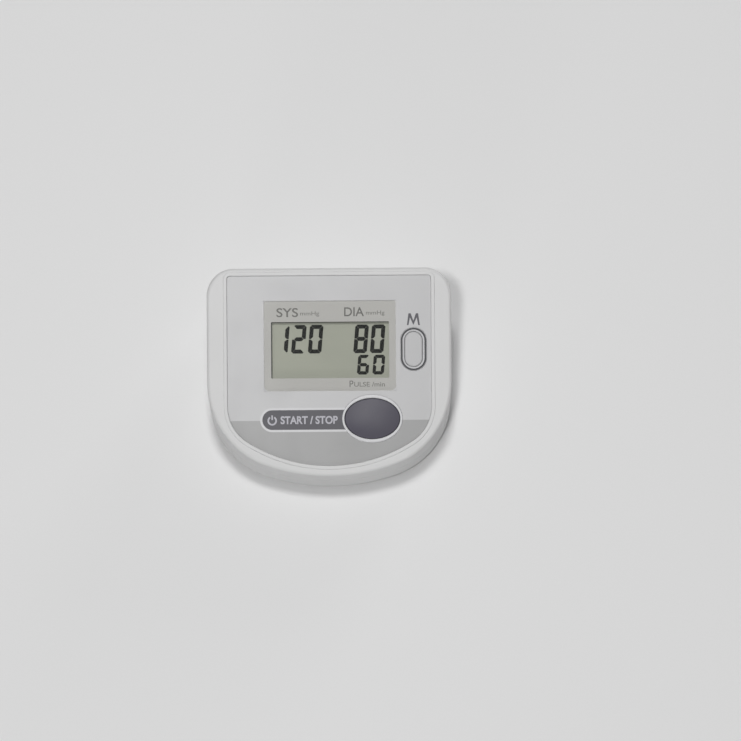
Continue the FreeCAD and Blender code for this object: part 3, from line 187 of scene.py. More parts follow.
def moulded(
    name, colour, roughness, constants=None, depth=0.02, grain=2400.0, mottle=0.03, marks=0.4, dust=0.1
):
    """A moulded or printed surface; its colour may be a function that draws it in the tree."""
    material, tree, shader = surface(name, constants)
    colour = colour(tree) if callable(colour) else colour
    kind = {"Color": colour, "Grain": grain, "Mottle": mottle}
    texture = add(tree, "Group", kind, node_tree=moulded_grain)
    rough = reckon(tree, "ADD", texture["Roughness"], roughness)
    wear = add(tree, "Group", {"Roughness": rough, "Marks": marks}, node_tree=handling_marks)
    lying = {"Color": texture["Color"], "Dust": dust}
    settled = add(tree, "Group", lying, node_tree=settled_dust)
    relief = reckon(tree, "ADD", texture["Height"], wear["Height"])
    wire(tree, shader, {
        "Base Color": settled["Color"],
        "Roughness": reckon(tree, "ADD", wear["Roughness"], settled["Roughness"]),
        "Normal": emboss(tree, relief, depth),
    })
    return material


def dress(material, *nodes):
    """Give CAD nodes their finish."""
    for node in nodes:
        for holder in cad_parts[node].material_slots:
            holder.material = material


case_white = moulded("case_white", tint(206, 206, 206), 0.46)
dress(case_white, "lower_case")


# --- Rubber feet ------------------------------------------------------------------------------
# Four moulded rubber pads with a rounded tread and a shallow hollow under each, glued into
# recesses in the floor of the tray.
FEET = ((-46.0, 30.0), (46.0, 30.0), (-28.0, -38.0), (28.0, -38.0))
FOOT_POINTS = 56
FOOT_PROFILE = (
    (0.05, 0.3), (3.3, 0.3), (3.6, 0.05), (3.9, 0.0), (4.3, 0.0),
    (4.75, 0.15), (5.0, 0.55), (5.0, 2.3), (0.05, 2.3),
)


def finished(name, builder, material, body, replaced=(), crease=35.0, laid=None):
    """Make a piece from its mesh in millimetres, smoothed and finished, and hang it on its body."""
    bmesh.ops.recalc_face_normals(builder, faces=builder.faces)
    mesh = bpy.data.meshes.new(name)
    builder.to_mesh(mesh)
    builder.free()
    mesh.transform(Matrix.Scale(0.001, 4) @ (laid or Matrix.Identity(4)))
    mesh.shade_smooth()
    mesh.set_sharp_from_angle(angle=math.radians(crease))
    mesh.materials.append(material)
    piece = bpy.data.objects.new(name, mesh)
    bpy.context.scene.collection.objects.link(piece)
    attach(piece, body)
    if replaced:
        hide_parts(*replaced)
    return piece


def skin(builder, rings, capped=True):
    """Skin a stack of rings; uncapped, the last ring is joined to the first one."""
    loops = [[builder.verts.new(point) for point in ring] for ring in rings]
    pairs = list(zip(loops, loops[1:])) + ([] if capped else [(loops[-1], loops[0])])
    for lower, upper in pairs:
        for at in range(len(lower)):
            builder.faces.new((lower[at - 1], lower[at], upper[at], upper[at - 1]))
    if capped:
        builder.faces.new(loops[0])
        builder.faces.new(loops[-1])


def oval(across, up, level, long, short=None, count=144):
    """A ring of points on an ellipse or circle."""
    short = long if short is None else short
    turns = [2 * math.pi * step / count for step in range(count)]
    return [(across + long * math.cos(turn), up + short * math.sin(turn), level) for turn in turns]


foot_rubber = moulded(
    "foot_rubber", tint(62, 62, 65), 0.78, {"Specular IOR Level": 0.3},
    depth=0.05, grain=1300.0, mottle=0.12, dust=0.3,
)
builder = bmesh.new()
for across, back in FEET:
    rings = [oval(across, back, level, radius, count=FOOT_POINTS) for radius, level in FOOT_PROFILE]
    skin(builder, rings)
finished("rubber_pads", builder, foot_rubber, "case", ["rubber_feet"])


# --- Batteries --------------------------------------------------------------------------------
# Four AA cells turned end for end: steel cans in a printed plastic jacket, dark with a bright
# band at the positive end, and bare steel at both ends.
CELL_PITCH, CELL_LEVEL, CELL_RADIUS = 15.0, 11.05, 7.25
CELL_MIDDLE, BAND_FROM, JACKET_RIM, PRINT_EDGE = 13.25, 9.0, 0.5, 0.1


def round_axis(tree, where, middle):
    """Place along an axis that runs from front to rear, and distance to it, in metres."""
    centred = add(tree, "Mapping", {0: where, 1: [-place / 1000 for place in middle]})[0]
    east, along, high = add(tree, "SeparateXYZ", {0: centred})
    squares = [reckon(tree, "POWER", side, 2.0) for side in (east, high)]
    return along, reckon(tree, "SQRT", reckon(tree, "ADD", *squares))


def jacket_colour(tree, across, turned):
    """The cell's colour and where its steel is bare."""
    where = add(tree, "TexCoord")["Object"]
    along, out = round_axis(tree, where, (across, CELL_MIDDLE, CELL_LEVEL))
    rim = CELL_RADIUS - JACKET_RIM
    bare = spread(tree, out, rim / 1000, (rim + PRINT_EDGE) / 1000, 1.0, 0.0)
    toward = reckon(tree, "MULTIPLY", along, -1.0 if turned else 1.0)
    band = spread(tree, toward, BAND_FROM / 1000, (BAND_FROM + PRINT_EDGE) / 1000)
    streaks = noise(tree, where, 420.0, 3.0)
    dark = mingle(tree, streaks, tint(24, 38, 66), tint(34, 50, 82))
    bright = mingle(tree, streaks, tint(176, 178, 182), tint(200, 201, 204))
    steel = mingle(tree, streaks, tint(168, 168, 166), tint(190, 190, 188))
    return mingle(tree, bare, mingle(tree, band, dark, bright), steel), bare


for index in range(4):
    varnish = {"Coat Weight": 0.35, "Coat Roughness": 0.12}
    material, tree, shader = surface("cell_jacket_%d" % (index + 1), varnish)
    colour, bare = jacket_colour(tree, (index - 1.5) * CELL_PITCH, index % 2 == 1)
    rubbed = noise(tree, add(tree, "TexCoord")["Object"], 90.0, 4.0)
    wire(tree, shader, {
        "Base Color": colour,
        "Metallic": bare,
        "Roughness": spread(tree, rubbed, 0.3, 0.7, 0.26, 0.4),
        "Normal": emboss(tree, rubbed, 0.05),
    })
    dress(material, "aa_cell_%d" % (index + 1))


# --- Battery contacts -------------------------------------------------------------------------
# Nickel-plated spring steel: coil springs against the flat ends of the cells, and stamped plates
# that slide into slots of the bay and join neighbouring cells.
drawn_lines, takes, gives = effect(
    "drawn_lines",
    {"Color": tint(180, 180, 180), "Roughness": 0.3, "Across": 900.0, "Back": 40.0, "Up": 900.0},
    ("Color", "Roughness", "Height"),
)
where = add(drawn_lines, "TexCoord")["Object"]
stretch = add(drawn_lines, "CombineXYZ", {0: takes["Across"], 1: takes["Back"], 2: takes["Up"]})[0]
drawn = add(drawn_lines, "VectorMath", {0: where, 1: stretch}, operation="MULTIPLY")[0]
lines = noise(drawn_lines, drawn, 1.0, 4.0)
tarnish = spread(drawn_lines, noise(drawn_lines, where, 150.0, 4.0), 0.35, 0.7, 1.0, 0.86)
streaked = spread(drawn_lines, lines, 0.3, 0.7, 0.88, 1.0)
shade = reckon(drawn_lines, "MULTIPLY", streaked, tarnish)
shaded = mingle(drawn_lines, 1.0, takes["Color"], shade, "MULTIPLY")
drawn_lines.links.new(shaded, gives["Color"])
rough = spread(drawn_lines, lines, 0.3, 0.7, -0.06, 0.1)
drawn_lines.links.new(reckon(drawn_lines, "ADD", takes["Roughness"], rough), gives["Roughness"])
drawn_lines.links.new(lines, gives["Height"])


def metal(name, colour, roughness, lines=(900.0, 40.0, 900.0), depth=0.006):
    """Bare or plated metal with the lines of its drawing, rolling or turning."""
    material, tree, shader = surface(name, {"Metallic": 1.0})
    across, back, up = lines
    kind = {"Color": colour, "Roughness": roughness, "Across": across, "Back": back, "Up": up}
    drawn = add(tree, "Group", kind, node_tree=drawn_lines)
    wire(tree, shader, {
        "Base Color": drawn["Color"],
        "Roughness": drawn["Roughness"],
        "Normal": emboss(tree, drawn["Height"], depth),
    })
    return material


nickel = metal("nickel_plate", tint(196, 194, 188), 0.22)
dress(nickel, "battery_springs", "contact_plates")


# --- Battery cover ----------------------------------------------------------------------------
# A moulded lid that slides off backwards on two rails, in the same white ABS as the case. An
# arrow is raised on it beside the finger grooves to show which way it goes.
ARROW = ((-4.5, 44.5), (4.5, 44.5), (0.0, 48.2))
ARROW_FACE, ARROW_ROOT = 1.28, 1.52
dress(case_white, "battery_cover")


def slab(builder, outline, low, high):
    """A flat plate of any outline between two levels."""
    skin(builder, [[(across, up, level) for across, up in outline] for level in (low, high)])


builder = bmesh.new()
slab(builder, ARROW, ARROW_FACE, ARROW_ROOT)
finished("cover_arrow", builder, case_white, "battery_cover")


# --- Air pump ---------------------------------------------------------------------------------
# A small direct-current motor in a drawn steel can, with a diaphragm pump head of black nylon
# pressed on its front. A rubber sleeve round the motor keeps it quiet in its cradle.
can_steel = metal("can_steel", tint(172, 173, 174), 0.3, (300.0, 30.0, 300.0))
dress(can_steel, "pump_motor", "exhaust_valve")
rotor_steel = metal("rotor_steel", tint(150, 146, 140), 0.36, (60.0, 1400.0, 60.0))
dress(rotor_steel, "motor_rotor")
black_nylon = moulded(
    "black_nylon", tint(34, 34, 36), 0.5, depth=0.03, grain=1900.0, mottle=0.1, dust=0.25
)
dress(black_nylon, "pump_head")
black_rubber = moulded(
    "black_rubber", tint(28, 28, 28), 0.82, {"Specular IOR Level": 0.3},
    depth=0.05, grain=1200.0, mottle=0.15, dust=0.3,
)
dress(black_rubber, "pump_sleeve")


# --- Air socket, valve and sensor -------------------------------------------------------------
# The cuff's plug goes into a black nylon socket in the left wall. Behind it, silicone tubes lead
# to the pump, to the exhaust valve in its steel can and to the pressure sensor on the board.
dress(black_nylon, "air_socket")
dress(nickel, "valve_plunger")
silicone = moulded(
    "silicone", tint(206, 204, 197), 0.5, {"Subsurface Weight": 0.15, "Subsurface Scale": 0.002},
    depth=0.03, grain=700.0, mottle=0.05,
)
dress(silicone, "pump_tube", "valve_tube", "sensor_tube")
sensor_white = moulded("sensor_white", tint(222, 219, 208), 0.42, grain=1800.0)
dress(sensor_white, "pressure_sensor")


# --- Adapter inlet ----------------------------------------------------------------------------
# A moulded inlet for a mains adapter in the rear wall: a black body with a nickel-plated centre
# pin standing in its bore.
JACK_ACROSS, JACK_LEVEL, PIN_RADIUS, PIN_MARGIN = -41.7, 9.3, 1.0, 0.2
material, tree, shader = surface("inlet_plastic", {"Coat Weight": 0.1})
where = add(tree, "TexCoord")["Object"]
out = round_axis(tree, where, (JACK_ACROSS, 0.0, JACK_LEVEL))[1]
pin = reckon(tree, "LESS_THAN", out, (PIN_RADIUS + PIN_MARGIN) / 1000)
grain = noise(tree, where, 2200.0, 3.0)
body_colour = mingle(tree, grain, tint(26, 26, 28), tint(38, 38, 40))
wire(tree, shader, {
    "Base Color": mingle(tree, pin, body_colour, tint(196, 192, 180)),
    "Metallic": pin,
    "Roughness": spread(tree, grain, 0.3, 0.7, 0.35, 0.48),
    "Normal": emboss(tree, grain, 0.02),
})
dress(material, "dc_jack")


# --- Main board -------------------------------------------------------------------------------
# A glass-epoxy circuit board under green solder mask, screwed to bosses under the deck, with the
# switches on top and the controller, capacitors and buzzer below.
REAR_HEIGHT, FRONT_HEIGHT, CASE_DEPTH = 57.5, 23.7, 104.0
DECK_TILT = math.atan((REAR_HEIGHT - FRONT_HEIGHT) / CASE_DEPTH)
DECK_LEVEL = (REAR_HEIGHT + FRONT_HEIGHT) / 2
DECK = Matrix.Translation((0, 0, DECK_LEVEL)) @ Matrix.Rotation(DECK_TILT, 4, "X")
TRACKS, PADS, WEAVE = 120.0, 260.0, 1400.0


def deck_axes(tree):
    """Coordinates across the deck, up its slope and out of it, in metres."""
    where = add(tree, "TexCoord")["Object"]
    lowered = add(tree, "Mapping", {0: where, 1: (0.0, 0.0, -DECK_LEVEL / 1000)})[0]
    return add(tree, "Mapping", {0: lowered, 2: (-DECK_TILT, 0.0, 0.0)})[0]


def board_colour(tree):
    """Green mask over copper tracks, with rows of tinned pads."""
    where = deck_axes(tree)
    bricks = {0: where, "Scale": TRACKS, "Mortar Size": 0.035, "Brick Width": 0.9}
    tracks = add(tree, "TexBrick", bricks)[1]
    pads = add(tree, "TexVoronoi", {0: where, "Scale": PADS}, feature="F1")[0]
    weave = noise(tree, where, WEAVE, 2.0)
    mask = mingle(tree, weave, tint(22, 84, 46), tint(34, 104, 60))
    copper = mingle(tree, tracks, mask, tint(58, 132, 78))
    return mingle(tree, spread(tree, pads, 0.13, 0.15, 1.0, 0.0), copper, tint(198, 190, 160))


board_mask = moulded(
    "board_mask", board_colour, 0.34, {"Coat Weight": 0.3}, depth=0.03, grain=900.0, dust=0.2
)
dress(board_mask, "main_board")
epoxy = moulded("chip_epoxy", tint(38, 38, 40), 0.55, depth=0.04, grain=2800.0, mottle=0.1)
dress(epoxy, "microcontroller", "buzzer", "start_switch", "memory_switch")
plunger_plastic = moulded("plunger_plastic", tint(52, 50, 50), 0.4, depth=0.01)
dress(plunger_plastic, "start_plunger", "memory_plunger")
sleeve_film = moulded(
    "capacitor_film", tint(26, 30, 52), 0.3, {"Coat Weight": 0.4}, depth=0.01, mottle=0.08
)
dress(sleeve_film, "board_capacitors")
zinc = metal("zinc_plate", tint(176, 178, 178), 0.32, (500.0, 500.0, 500.0))
dress(zinc, "board_screws")


# --- Liquid crystal display -------------------------------------------------------------------
# A glass cell in a nylon holder over the board, on two strips of striped conductive rubber. Its
# dark segments stand on a grey-green polariser; it shows a reading of 120 over 80, pulse 60.
FILM_CLOUDS, FILM_GRAIN, CARBON_LAYERS = 30.0, 5200.0, 700.0
dress(sensor_white, "lcd_holder")


def strip_colour(tree):
    """Carbon layers between plain ones, along the strip."""
    layers = {0: deck_axes(tree), "Scale": CARBON_LAYERS}
    waves = add(tree, "TexWave", layers, bands_direction="X")[1]
    return mingle(tree, waves, tint(30, 30, 32), tint(150, 150, 150))


dress(moulded("zebra_rubber", strip_colour, 0.7, depth=0.01), "zebra_strips")


def polariser_colour(tree):
    """Grey-green with the faint cloudiness of a reflecting film."""
    where = deck_axes(tree)
    cloud = spread(tree, noise(tree, where, FILM_CLOUDS, 2.0), 0.35, 0.65)
    sparkle = spread(tree, noise(tree, where, FILM_GRAIN, 2.0), 0.3, 0.7)
    film = mingle(tree, cloud, tint(162, 165, 154), tint(173, 176, 164))
    return mingle(tree, sparkle, film, tint(171, 173, 163))


lcd_film = moulded(
    "lcd_film", polariser_colour, 0.5, {"Specular IOR Level": 0.1},
    depth=0.01, grain=FILM_GRAIN, mottle=0.02, marks=0.0, dust=0.0,
)
dress(lcd_film, "lcd_panel")

# Segments run clockwise from the top: a bar, b and c right, d foot, e and f left, g cross.
SEGMENTS = {"0": "abcdef", "1": "bc", "2": "abged", "6": "acdefg", "8": "abcdefg"}
CORNER_GAP, MIDDLE_GAP, CORNER_CUT = 0.035, 0.14, 1.1
SEGMENT_SLANT = math.tan(math.radians(5.0))
GLASS_TOP, INK = -3.0, 0.02
# Width, height and stroke of the two sizes of figure, after the level of its middle.
LARGE, SMALL = (16.95, 7.1, 14.95, 2.1), (3.4, 6.05, 10.35, 1.75)
READINGS = {
    "digits_systolic": (("1", -24.8), ("2", -15.9), ("0", -7.1), LARGE),
    "digits_diastolic": (("8", 16.7), ("0", 25.4), LARGE),
    "digits_pulse": (("6", 17.8), ("0", 25.9), SMALL),
}


def digit(builder, figure, middle, centre_up, wide, tall, stroke):
    """The lit segments of one figure, mitred where they meet and leaning to the right."""
    gap, half, cut = CORNER_GAP, tall / 2, CORNER_CUT
    bar = (
        (cut, tall),
        (wide - cut, tall),
        (wide - cut / 2 - gap, tall - cut / 2),
        (wide - stroke - gap, tall - stroke),
        (stroke + gap, tall - stroke),
        (cut / 2 + gap, tall - cut / 2),
    )
    side = (
        (0.0, tall - cut),
        (cut / 2, tall - cut / 2 - gap),
        (stroke, tall - stroke - gap),
        (stroke, half + stroke / 2 + MIDDLE_GAP),
        (stroke / 2, half + MIDDLE_GAP),
        (0.0, half + MIDDLE_GAP),
    )
    cross = [
        (stroke / 2 + gap, half),
        (stroke + gap, half + stroke / 2),
        (wide - stroke - gap, half + stroke / 2),
        (wide - stroke / 2 - gap, half),
        (wide - stroke - gap, half - stroke / 2),
        (stroke + gap, half - stroke / 2),
    ]
    shapes = {
        "a": bar,
        "b": [(wide - across, up) for across, up in side],
        "c": [(wide - across, tall - up) for across, up in side],
        "d": [(across, tall - up) for across, up in bar],
        "e": [(across, tall - up) for across, up in side],
        "f": side,
        "g": cross,
    }
    for name in SEGMENTS[figure]:
        leaning = [
            (middle - wide / 2 + across + (up - half) * SEGMENT_SLANT, centre_up - half + up)
            for across, up in shapes[name]
        ]
        slab(builder, leaning, GLASS_TOP, GLASS_TOP + INK)


lcd_ink = moulded(
    "lcd_ink", tint(10, 13, 10), 0.6, {"Specular IOR Level": 0.1},
    depth=0.004, grain=FILM_GRAIN, mottle=0.1, marks=0.0, dust=0.0,
)
for name, (*figures, form) in READINGS.items():
    builder = bmesh.new()
    for figure, middle in figures:
        digit(builder, figure, middle, *form)
    finished(name, builder, lcd_ink, "case", laid=DECK)


# --- Upper case -------------------------------------------------------------------------------
# The top shell with the sloping deck, moulded in the same white ABS. A raised bead runs round
# the recess for the printed panel.
dress(case_white, "upper_case")


# --- Printed panel ----------------------------------------------------------------------------
# A satin plastic sheet printed in two greys and glued into the deck's recess. The start label's
# bar, its words and the power sign are printed on top of it.
TONE_BREAK, TONE_EDGE, PANEL_TOP, PRINT_GRAIN = -25.6, 0.1, -0.4, 3800.0
START, START_LONG, START_SHORT = (22.3, -24.83), 15.8, 12.6
BAR_LEFT, BAR_MIDDLE, BAR_RADIUS, BAR_RIM, BAR_FIT, BAR_STEPS = -30.1, -25.25, 5.15, 1.15, 0.02, 24
SIGN, SIGN_RADIUS, SIGN_STROKE, SIGN_FROM, SIGN_TO = (-30.1, -25.6), 2.05, 0.85, 122, 418
SIGN_TICK = ((-30.5, -25.2), (-29.7, -25.2), (-29.7, -22.8), (-30.5, -22.8))
WORDS = (-25.7, 4.2, -27.45, -23.25)  # left, right, low, high


def panel_colour(tree):
    up = add(tree, "SeparateXYZ", {0: deck_axes(tree)})["Y"]
    upper = spread(tree, up, (TONE_BREAK - TONE_EDGE) / 1000, (TONE_BREAK + TONE_EDGE) / 1000)
    return mingle(tree, upper, tint(151, 151, 151), tint(184, 184, 185))


panel_print = moulded(
    "panel_print", panel_colour, 0.36, {"Specular IOR Level": 0.4},
    depth=0.008, grain=PRINT_GRAIN, mottle=0.02, dust=0.08,
)
dress(panel_print, "face_overlay")


def bar_outline(radius):
    """Round at the left end; the right end follows the ring of the start button."""
    shares = [step / BAR_STEPS for step in range(BAR_STEPS + 1)]
    left = []
    for turn in [math.pi / 2 + math.pi * share for share in shares]:
        left.append((BAR_LEFT + radius * math.cos(turn), BAR_MIDDLE + radius * math.sin(turn)))
    ups = [BAR_MIDDLE - radius + 2 * radius * share for share in shares]
    ring = [START_LONG * math.sqrt(1 - ((up - START[1]) / START_SHORT) ** 2) for up in ups]
    return left + [(START[0] - reach - BAR_FIT, up) for reach, up in zip(ring, ups)]


def band(middle, up, radius, stroke, start, end, steps=40):
    """The outline of a part of a ring, from one angle to another in degrees."""
    turns = [math.radians(start + (end - start) * step / steps) for step in range(steps + 1)]
    edges = ((radius + stroke / 2, turns), (radius - stroke / 2, turns[::-1]))
    return [
        (middle + reach * math.cos(turn), up + reach * math.sin(turn))
        for reach, side in edges
        for turn in side
    ]


def lettering(name, words, left, right, low, high, level, material, slot, weight=0.0):
    """Printed words, fitted to a box on the deck."""
    line = bpy.data.curves.new(name, "FONT")
    line.body = words
    line.offset = weight
    line.extrude = 0.5  # any thickness: the box below sets the real one
    holder = bpy.data.objects.new(name, line)
    mesh = bpy.data.meshes.new_from_object(holder)
    bpy.data.objects.remove(holder)
    builder = bmesh.new()
    builder.from_mesh(mesh)
    bpy.data.meshes.remove(mesh)
    bmesh.ops.remove_doubles(builder, verts=builder.verts, dist=1e-5)
    ends = [(min(places), max(places)) for places in zip(*(vertex.co for vertex in builder.verts))]
    for vertex in builder.verts:
        share = [(place - first) / (last - first) for place, (first, last) in zip(vertex.co, ends)]
        across, up = left + share[0] * (right - left), low + share[1] * (high - low)
        vertex.co = (across, up, level + share[2] * INK)
    return finished(name, builder, material, "case", laid=DECK)


white_ink = moulded("white_ink", tint(192, 192, 194), 0.35, depth=0.004, mottle=0.02, dust=0.05)
dark_ink = moulded(
    "dark_ink", tint(76, 75, 81), 0.45, {"Specular IOR Level": 0.35},
    depth=0.006, mottle=0.04, dust=0.05,
)
label_ink = moulded("label_ink", tint(168, 167, 175), 0.4, depth=0.004, mottle=0.04, dust=0.0)
builder = bmesh.new()
slab(builder, bar_outline(BAR_RADIUS + BAR_RIM), PANEL_TOP, PANEL_TOP + INK)
finished("label_rim", builder, white_ink, "case", laid=DECK)
builder = bmesh.new()
slab(builder, bar_outline(BAR_RADIUS), PANEL_TOP + INK, PANEL_TOP + 2 * INK)
finished("label_bar", builder, dark_ink, "case", laid=DECK)
builder = bmesh.new()
for shape in (band(*SIGN, SIGN_RADIUS, SIGN_STROKE, SIGN_FROM, SIGN_TO), SIGN_TICK):
    slab(builder, shape, PANEL_TOP + 2 * INK, PANEL_TOP + 3 * INK)
finished("power_sign", builder, label_ink, "case", laid=DECK)
over_bar = PANEL_TOP + 2 * INK
lettering("start_words", "START / STOP", *WORDS, over_bar, label_ink, "ring_white", weight=0.03)


# --- Display window ---------------------------------------------------------------------------
# A clear acrylic window let into the panel, which fills out its cut front corners. A grey border
# with the readings' names is printed on its underside and leaves the display's field clear. Under
# that, dark foam lips stand into the field at its left and rear edges only, as painted shade there.
WINDOW = (-34.15, 34.85, -10.23, 36.98)  # left, right, front, rear
FIELD = (-30.4, 31.3, -3.5, 26.0)
WINDOW_TOP, LENS_UNDER, BORDER_TOP, BORDER_UNDER = PANEL_TOP, -1.08, -1.12, -1.2
WINDOW_ROUND, WINDOW_CUT, FIELD_CUT = 1.0, 1.8, 0.3
LENS_FIT, BORDER_FIT, CORNER_FIT, CORNER_DROP, LENS_EDGE = 0.03, 0.06, 0.08, 0.002, 0.15
# The lips at the field's left and rear edges are painted shade along the edges of the sunken field.
GASKET_WALL, SHADE_LIPS = 0.6, (0.45, 0.0, 0.0, 0.4)  # the lips stand into the field


def cornered(edges, level, rear_round, front_cut, steps=8):
    """A ring round a box, with round rear corners and cut front ones."""
    left, right, front, rear = edges
    ring = []
    for across, up, start in ((right, rear, 0), (left, rear, 1), (left, front, 2), (right, front, 3)):
        size = rear_round if up == rear else front_cut
        middle = (across + (size if across == left else -size), up + (size if up == front else -size))
        begin, end = math.pi / 2 * start, math.pi / 2 * (start + 1)
        for step in range(steps + 1):
            share = step / steps
            if up == rear:
                turn = begin + share * (end - begin)
                out = (math.cos(turn), math.sin(turn))
            else:
                out = [(1 - share) * part(begin) + share * part(end) for part in (math.cos, math.sin)]
            ring.append((middle[0] + size * out[0], middle[1] + size * out[1], level))
    return ring


def inset(edges, step):
    left, right, front, rear = edges
    return left + step, right - step, front + step, rear - step


acrylic, tree, shader = surface("clear_acrylic")
tree.nodes.remove(shader)
gloss = add(tree, "Group", {"Roughness": 0.04, "Marks": 0.25}, node_tree=handling_marks)
ripple = noise(tree, add(tree, "TexCoord")["Object"], 40.0, 1.0)
relief = reckon(tree, "ADD", ripple, reckon(tree, "MULTIPLY", gloss["Height"], 0.2))
bump = emboss(tree, relief, 0.02)
polish = {"Color": (1, 1, 1, 1), "Roughness": gloss["Roughness"], "Normal": bump}
mirror = add(tree, "BsdfAnisotropic", polish)[0]
clear = add(tree, "BsdfTransparent", {0: tint(253, 253, 252)})[0]
glance = add(tree, "Fresnel", {"IOR": 1.38, "Normal": bump})[0]
outside = reckon(tree, "SUBTRACT", 1.0, add(tree, "NewGeometry")["Backfacing"])
glint = reckon(tree, "MULTIPLY", glance, outside)
mixed = add(tree, "MixShader", {0: glint, 1: clear, 2: mirror})[0]
tree.links.new(mixed, tree.nodes["Material Output"].inputs["Surface"])
builder = bmesh.new()
rings = []
for step, level in ((0.0, LENS_UNDER), (0.0, WINDOW_TOP - LENS_EDGE), (LENS_EDGE, WINDOW_TOP)):
    rings.append(cornered(inset(WINDOW, LENS_FIT + step), level, WINDOW_ROUND, WINDOW_CUT))
skin(builder, rings)
finished("window_lens", builder, acrylic, "case", ["display_window"], laid=DECK)

builder = bmesh.new()
leg, front = WINDOW_CUT - CORNER_FIT, WINDOW[2]
for side in WINDOW[:2]:
    corner = ((side, front), (side + math.copysign(leg, -side), front), (side, front + leg))
    slab(builder, corner, LENS_UNDER, WINDOW_TOP - CORNER_DROP)
finished("panel_corners", builder, panel_print, "case", laid=DECK)


def frame_between(outside, inside, round_corner, cut_corner, low, high):
    """A flat frame from one box to another, between two levels."""
    builder = bmesh.new()
    outer = [cornered(outside, level, round_corner, cut_corner) for level in (low, high)]
    inner = [cornered(inside, level, FIELD_CUT, FIELD_CUT) for level in (high, low)]
    skin(builder, outer + inner, capped=False)
    return builder


border_print = moulded(
    "border_print", tint(183, 182, 181), 0.5, {"Specular IOR Level": 0.3},
    depth=0.006, grain=PRINT_GRAIN, mottle=0.02, marks=0.0, dust=0.0,
)
printed = inset(WINDOW, BORDER_FIT)
builder = frame_between(printed, FIELD, WINDOW_ROUND, WINDOW_CUT, BORDER_UNDER, BORDER_TOP)
finished("window_border", builder, border_print, "case", laid=DECK)
# Dark foam as painted shade: it shows only as lips at the field's left and rear edges.
shade_foam = moulded(
    "shade_foam", tint(70, 72, 68), 0.85, {"Specular IOR Level": 0.2},
    depth=0.05, grain=1400.0, mottle=0.12, marks=0.0, dust=0.0,
)
left, right, front, rear = SHADE_LIPS
opening = (FIELD[0] + left, FIELD[1] - right, FIELD[2] + front, FIELD[3] - rear)
wall = inset(FIELD, -GASKET_WALL)
builder = frame_between(wall, opening, FIELD_CUT, FIELD_CUT, GLASS_TOP, BORDER_UNDER)
finished("painted_shade_gasket", builder, shade_foam, "case", laid=DECK)
name_ink = moulded("name_ink", tint(90, 90, 88), 0.5, depth=0.004, dust=0.0)
unit_ink = moulded("unit_ink", tint(118, 118, 115), 0.5, depth=0.004, dust=0.0)
# Each print's name and words, its box (left, right, low, high), its ink and its weight.
PRINTS = (
    ("systolic_name", "SYS", -27.5, -16.2, 28.56, 33.3, name_ink, 0.012),
    ("systolic_unit", "mmHg", -15.1, -5.1, 28.7, 31.5, unit_ink, 0.01),
    ("diastolic_name", "DIA", 7.9, 18.3, 28.8, 33.5, name_ink, 0.012),
    ("diastolic_unit", "mmHg", 19.3, 29.1, 28.9, 31.7, unit_ink, 0.01),
    ("pulse_initial", "P", 10.5, 12.5, -8.3, -4.9, name_ink, 0.0),
    ("pulse_name", "ULSE /min", 12.9, 29.0, -8.1, -5.6, unit_ink, 0.015),
)
for name, words, *box, ink, weight in PRINTS:
    lettering(name, words, *box, BORDER_TOP, ink, "window_clear", weight)


# --- Start button -----------------------------------------------------------------------------
# A crowned oval cap moulded in dark grey ABS, free in a white oval ring that is pressed into the
# panel. Its flange stops it under the deck, and its stem stands on the switch.
RING_HOLE, RING_FOOT, RING_TOP, RING_ROUND = (14.6, 10.75), -1.2, 0.0, 0.35
CAP_LONG, CAP_SHORT, CAP_EDGE, CAP_CROWN, CAP_ROUND = 14.35, 10.5, 0.1, 1.4, 0.5
CAP_FLANGE, FLANGE_TOP, FLANGE_FOOT, STEM_RADIUS, STEM_FOOT = 1.0, -2.8, -3.8, 2.0, -4.9
CROWN_STEPS, CROWN_POWER = 20, 2.2
EDGE = [math.radians(18 * step) for step in range(6)]
ring_white = moulded(
    "ring_white", tint(204, 204, 206), 0.36, {"Specular IOR Level": 0.4},
    depth=0.006, grain=1800.0, mottle=0.02,
)


def rounded_ring(outline, wide, foot, top, edge):
    """Rings round a frame with soft upper edges; outline gives one at an offset from the hole."""
    bends = [(edge * (1 - math.cos(turn)), edge * (1 - math.sin(turn))) for turn in EDGE]
    rings = [outline(0.0, foot)]
    rings += [outline(near, top - far) for near, far in bends]
    rings += [outline(wide - far, top - near) for near, far in bends]
    return rings + [outline(wide, foot)]


def start_ring(out, level):
    share = out / (START_LONG - RING_HOLE[0])
    short = RING_HOLE[1] + share * (START_SHORT - RING_HOLE[1])
    return oval(*START, level, RING_HOLE[0] + out, short)


builder = bmesh.new()
wide = START_LONG - RING_HOLE[0]
skin(builder, rounded_ring(start_ring, wide, RING_FOOT, RING_TOP, RING_ROUND), capped=False)
finished("start_ring", builder, ring_white, "case", ["start_bezel"], laid=DECK)

cap_dark = moulded(
    "cap_dark", tint(74, 72, 83), 0.46, {"Specular IOR Level": 0.35},
    depth=0.006, grain=2600.0, mottle=0.04, dust=0.08,
)
rings = [
    oval(*START, STEM_FOOT, STEM_RADIUS),
    oval(*START, FLANGE_FOOT, STEM_RADIUS),
    oval(*START, FLANGE_FOOT, CAP_LONG + CAP_FLANGE, CAP_SHORT + CAP_FLANGE),
    oval(*START, FLANGE_TOP, CAP_LONG + CAP_FLANGE, CAP_SHORT + CAP_FLANGE),
    oval(*START, FLANGE_TOP, CAP_LONG, CAP_SHORT),
]
for turn in EDGE:
    out, down = CAP_ROUND * (1 - math.cos(turn)), CAP_ROUND * (1 - math.sin(turn))
    rings.append(oval(*START, CAP_EDGE - down, CAP_LONG - out, CAP_SHORT - out))
for step in range(1, CROWN_STEPS):
    share = 1 - step / CROWN_STEPS
    level = CAP_EDGE + (CAP_CROWN - CAP_EDGE) * (1 - share ** CROWN_POWER)
    long, short = (CAP_LONG - CAP_ROUND) * share, (CAP_SHORT - CAP_ROUND) * share
    rings.append(oval(*START, level, long, short))
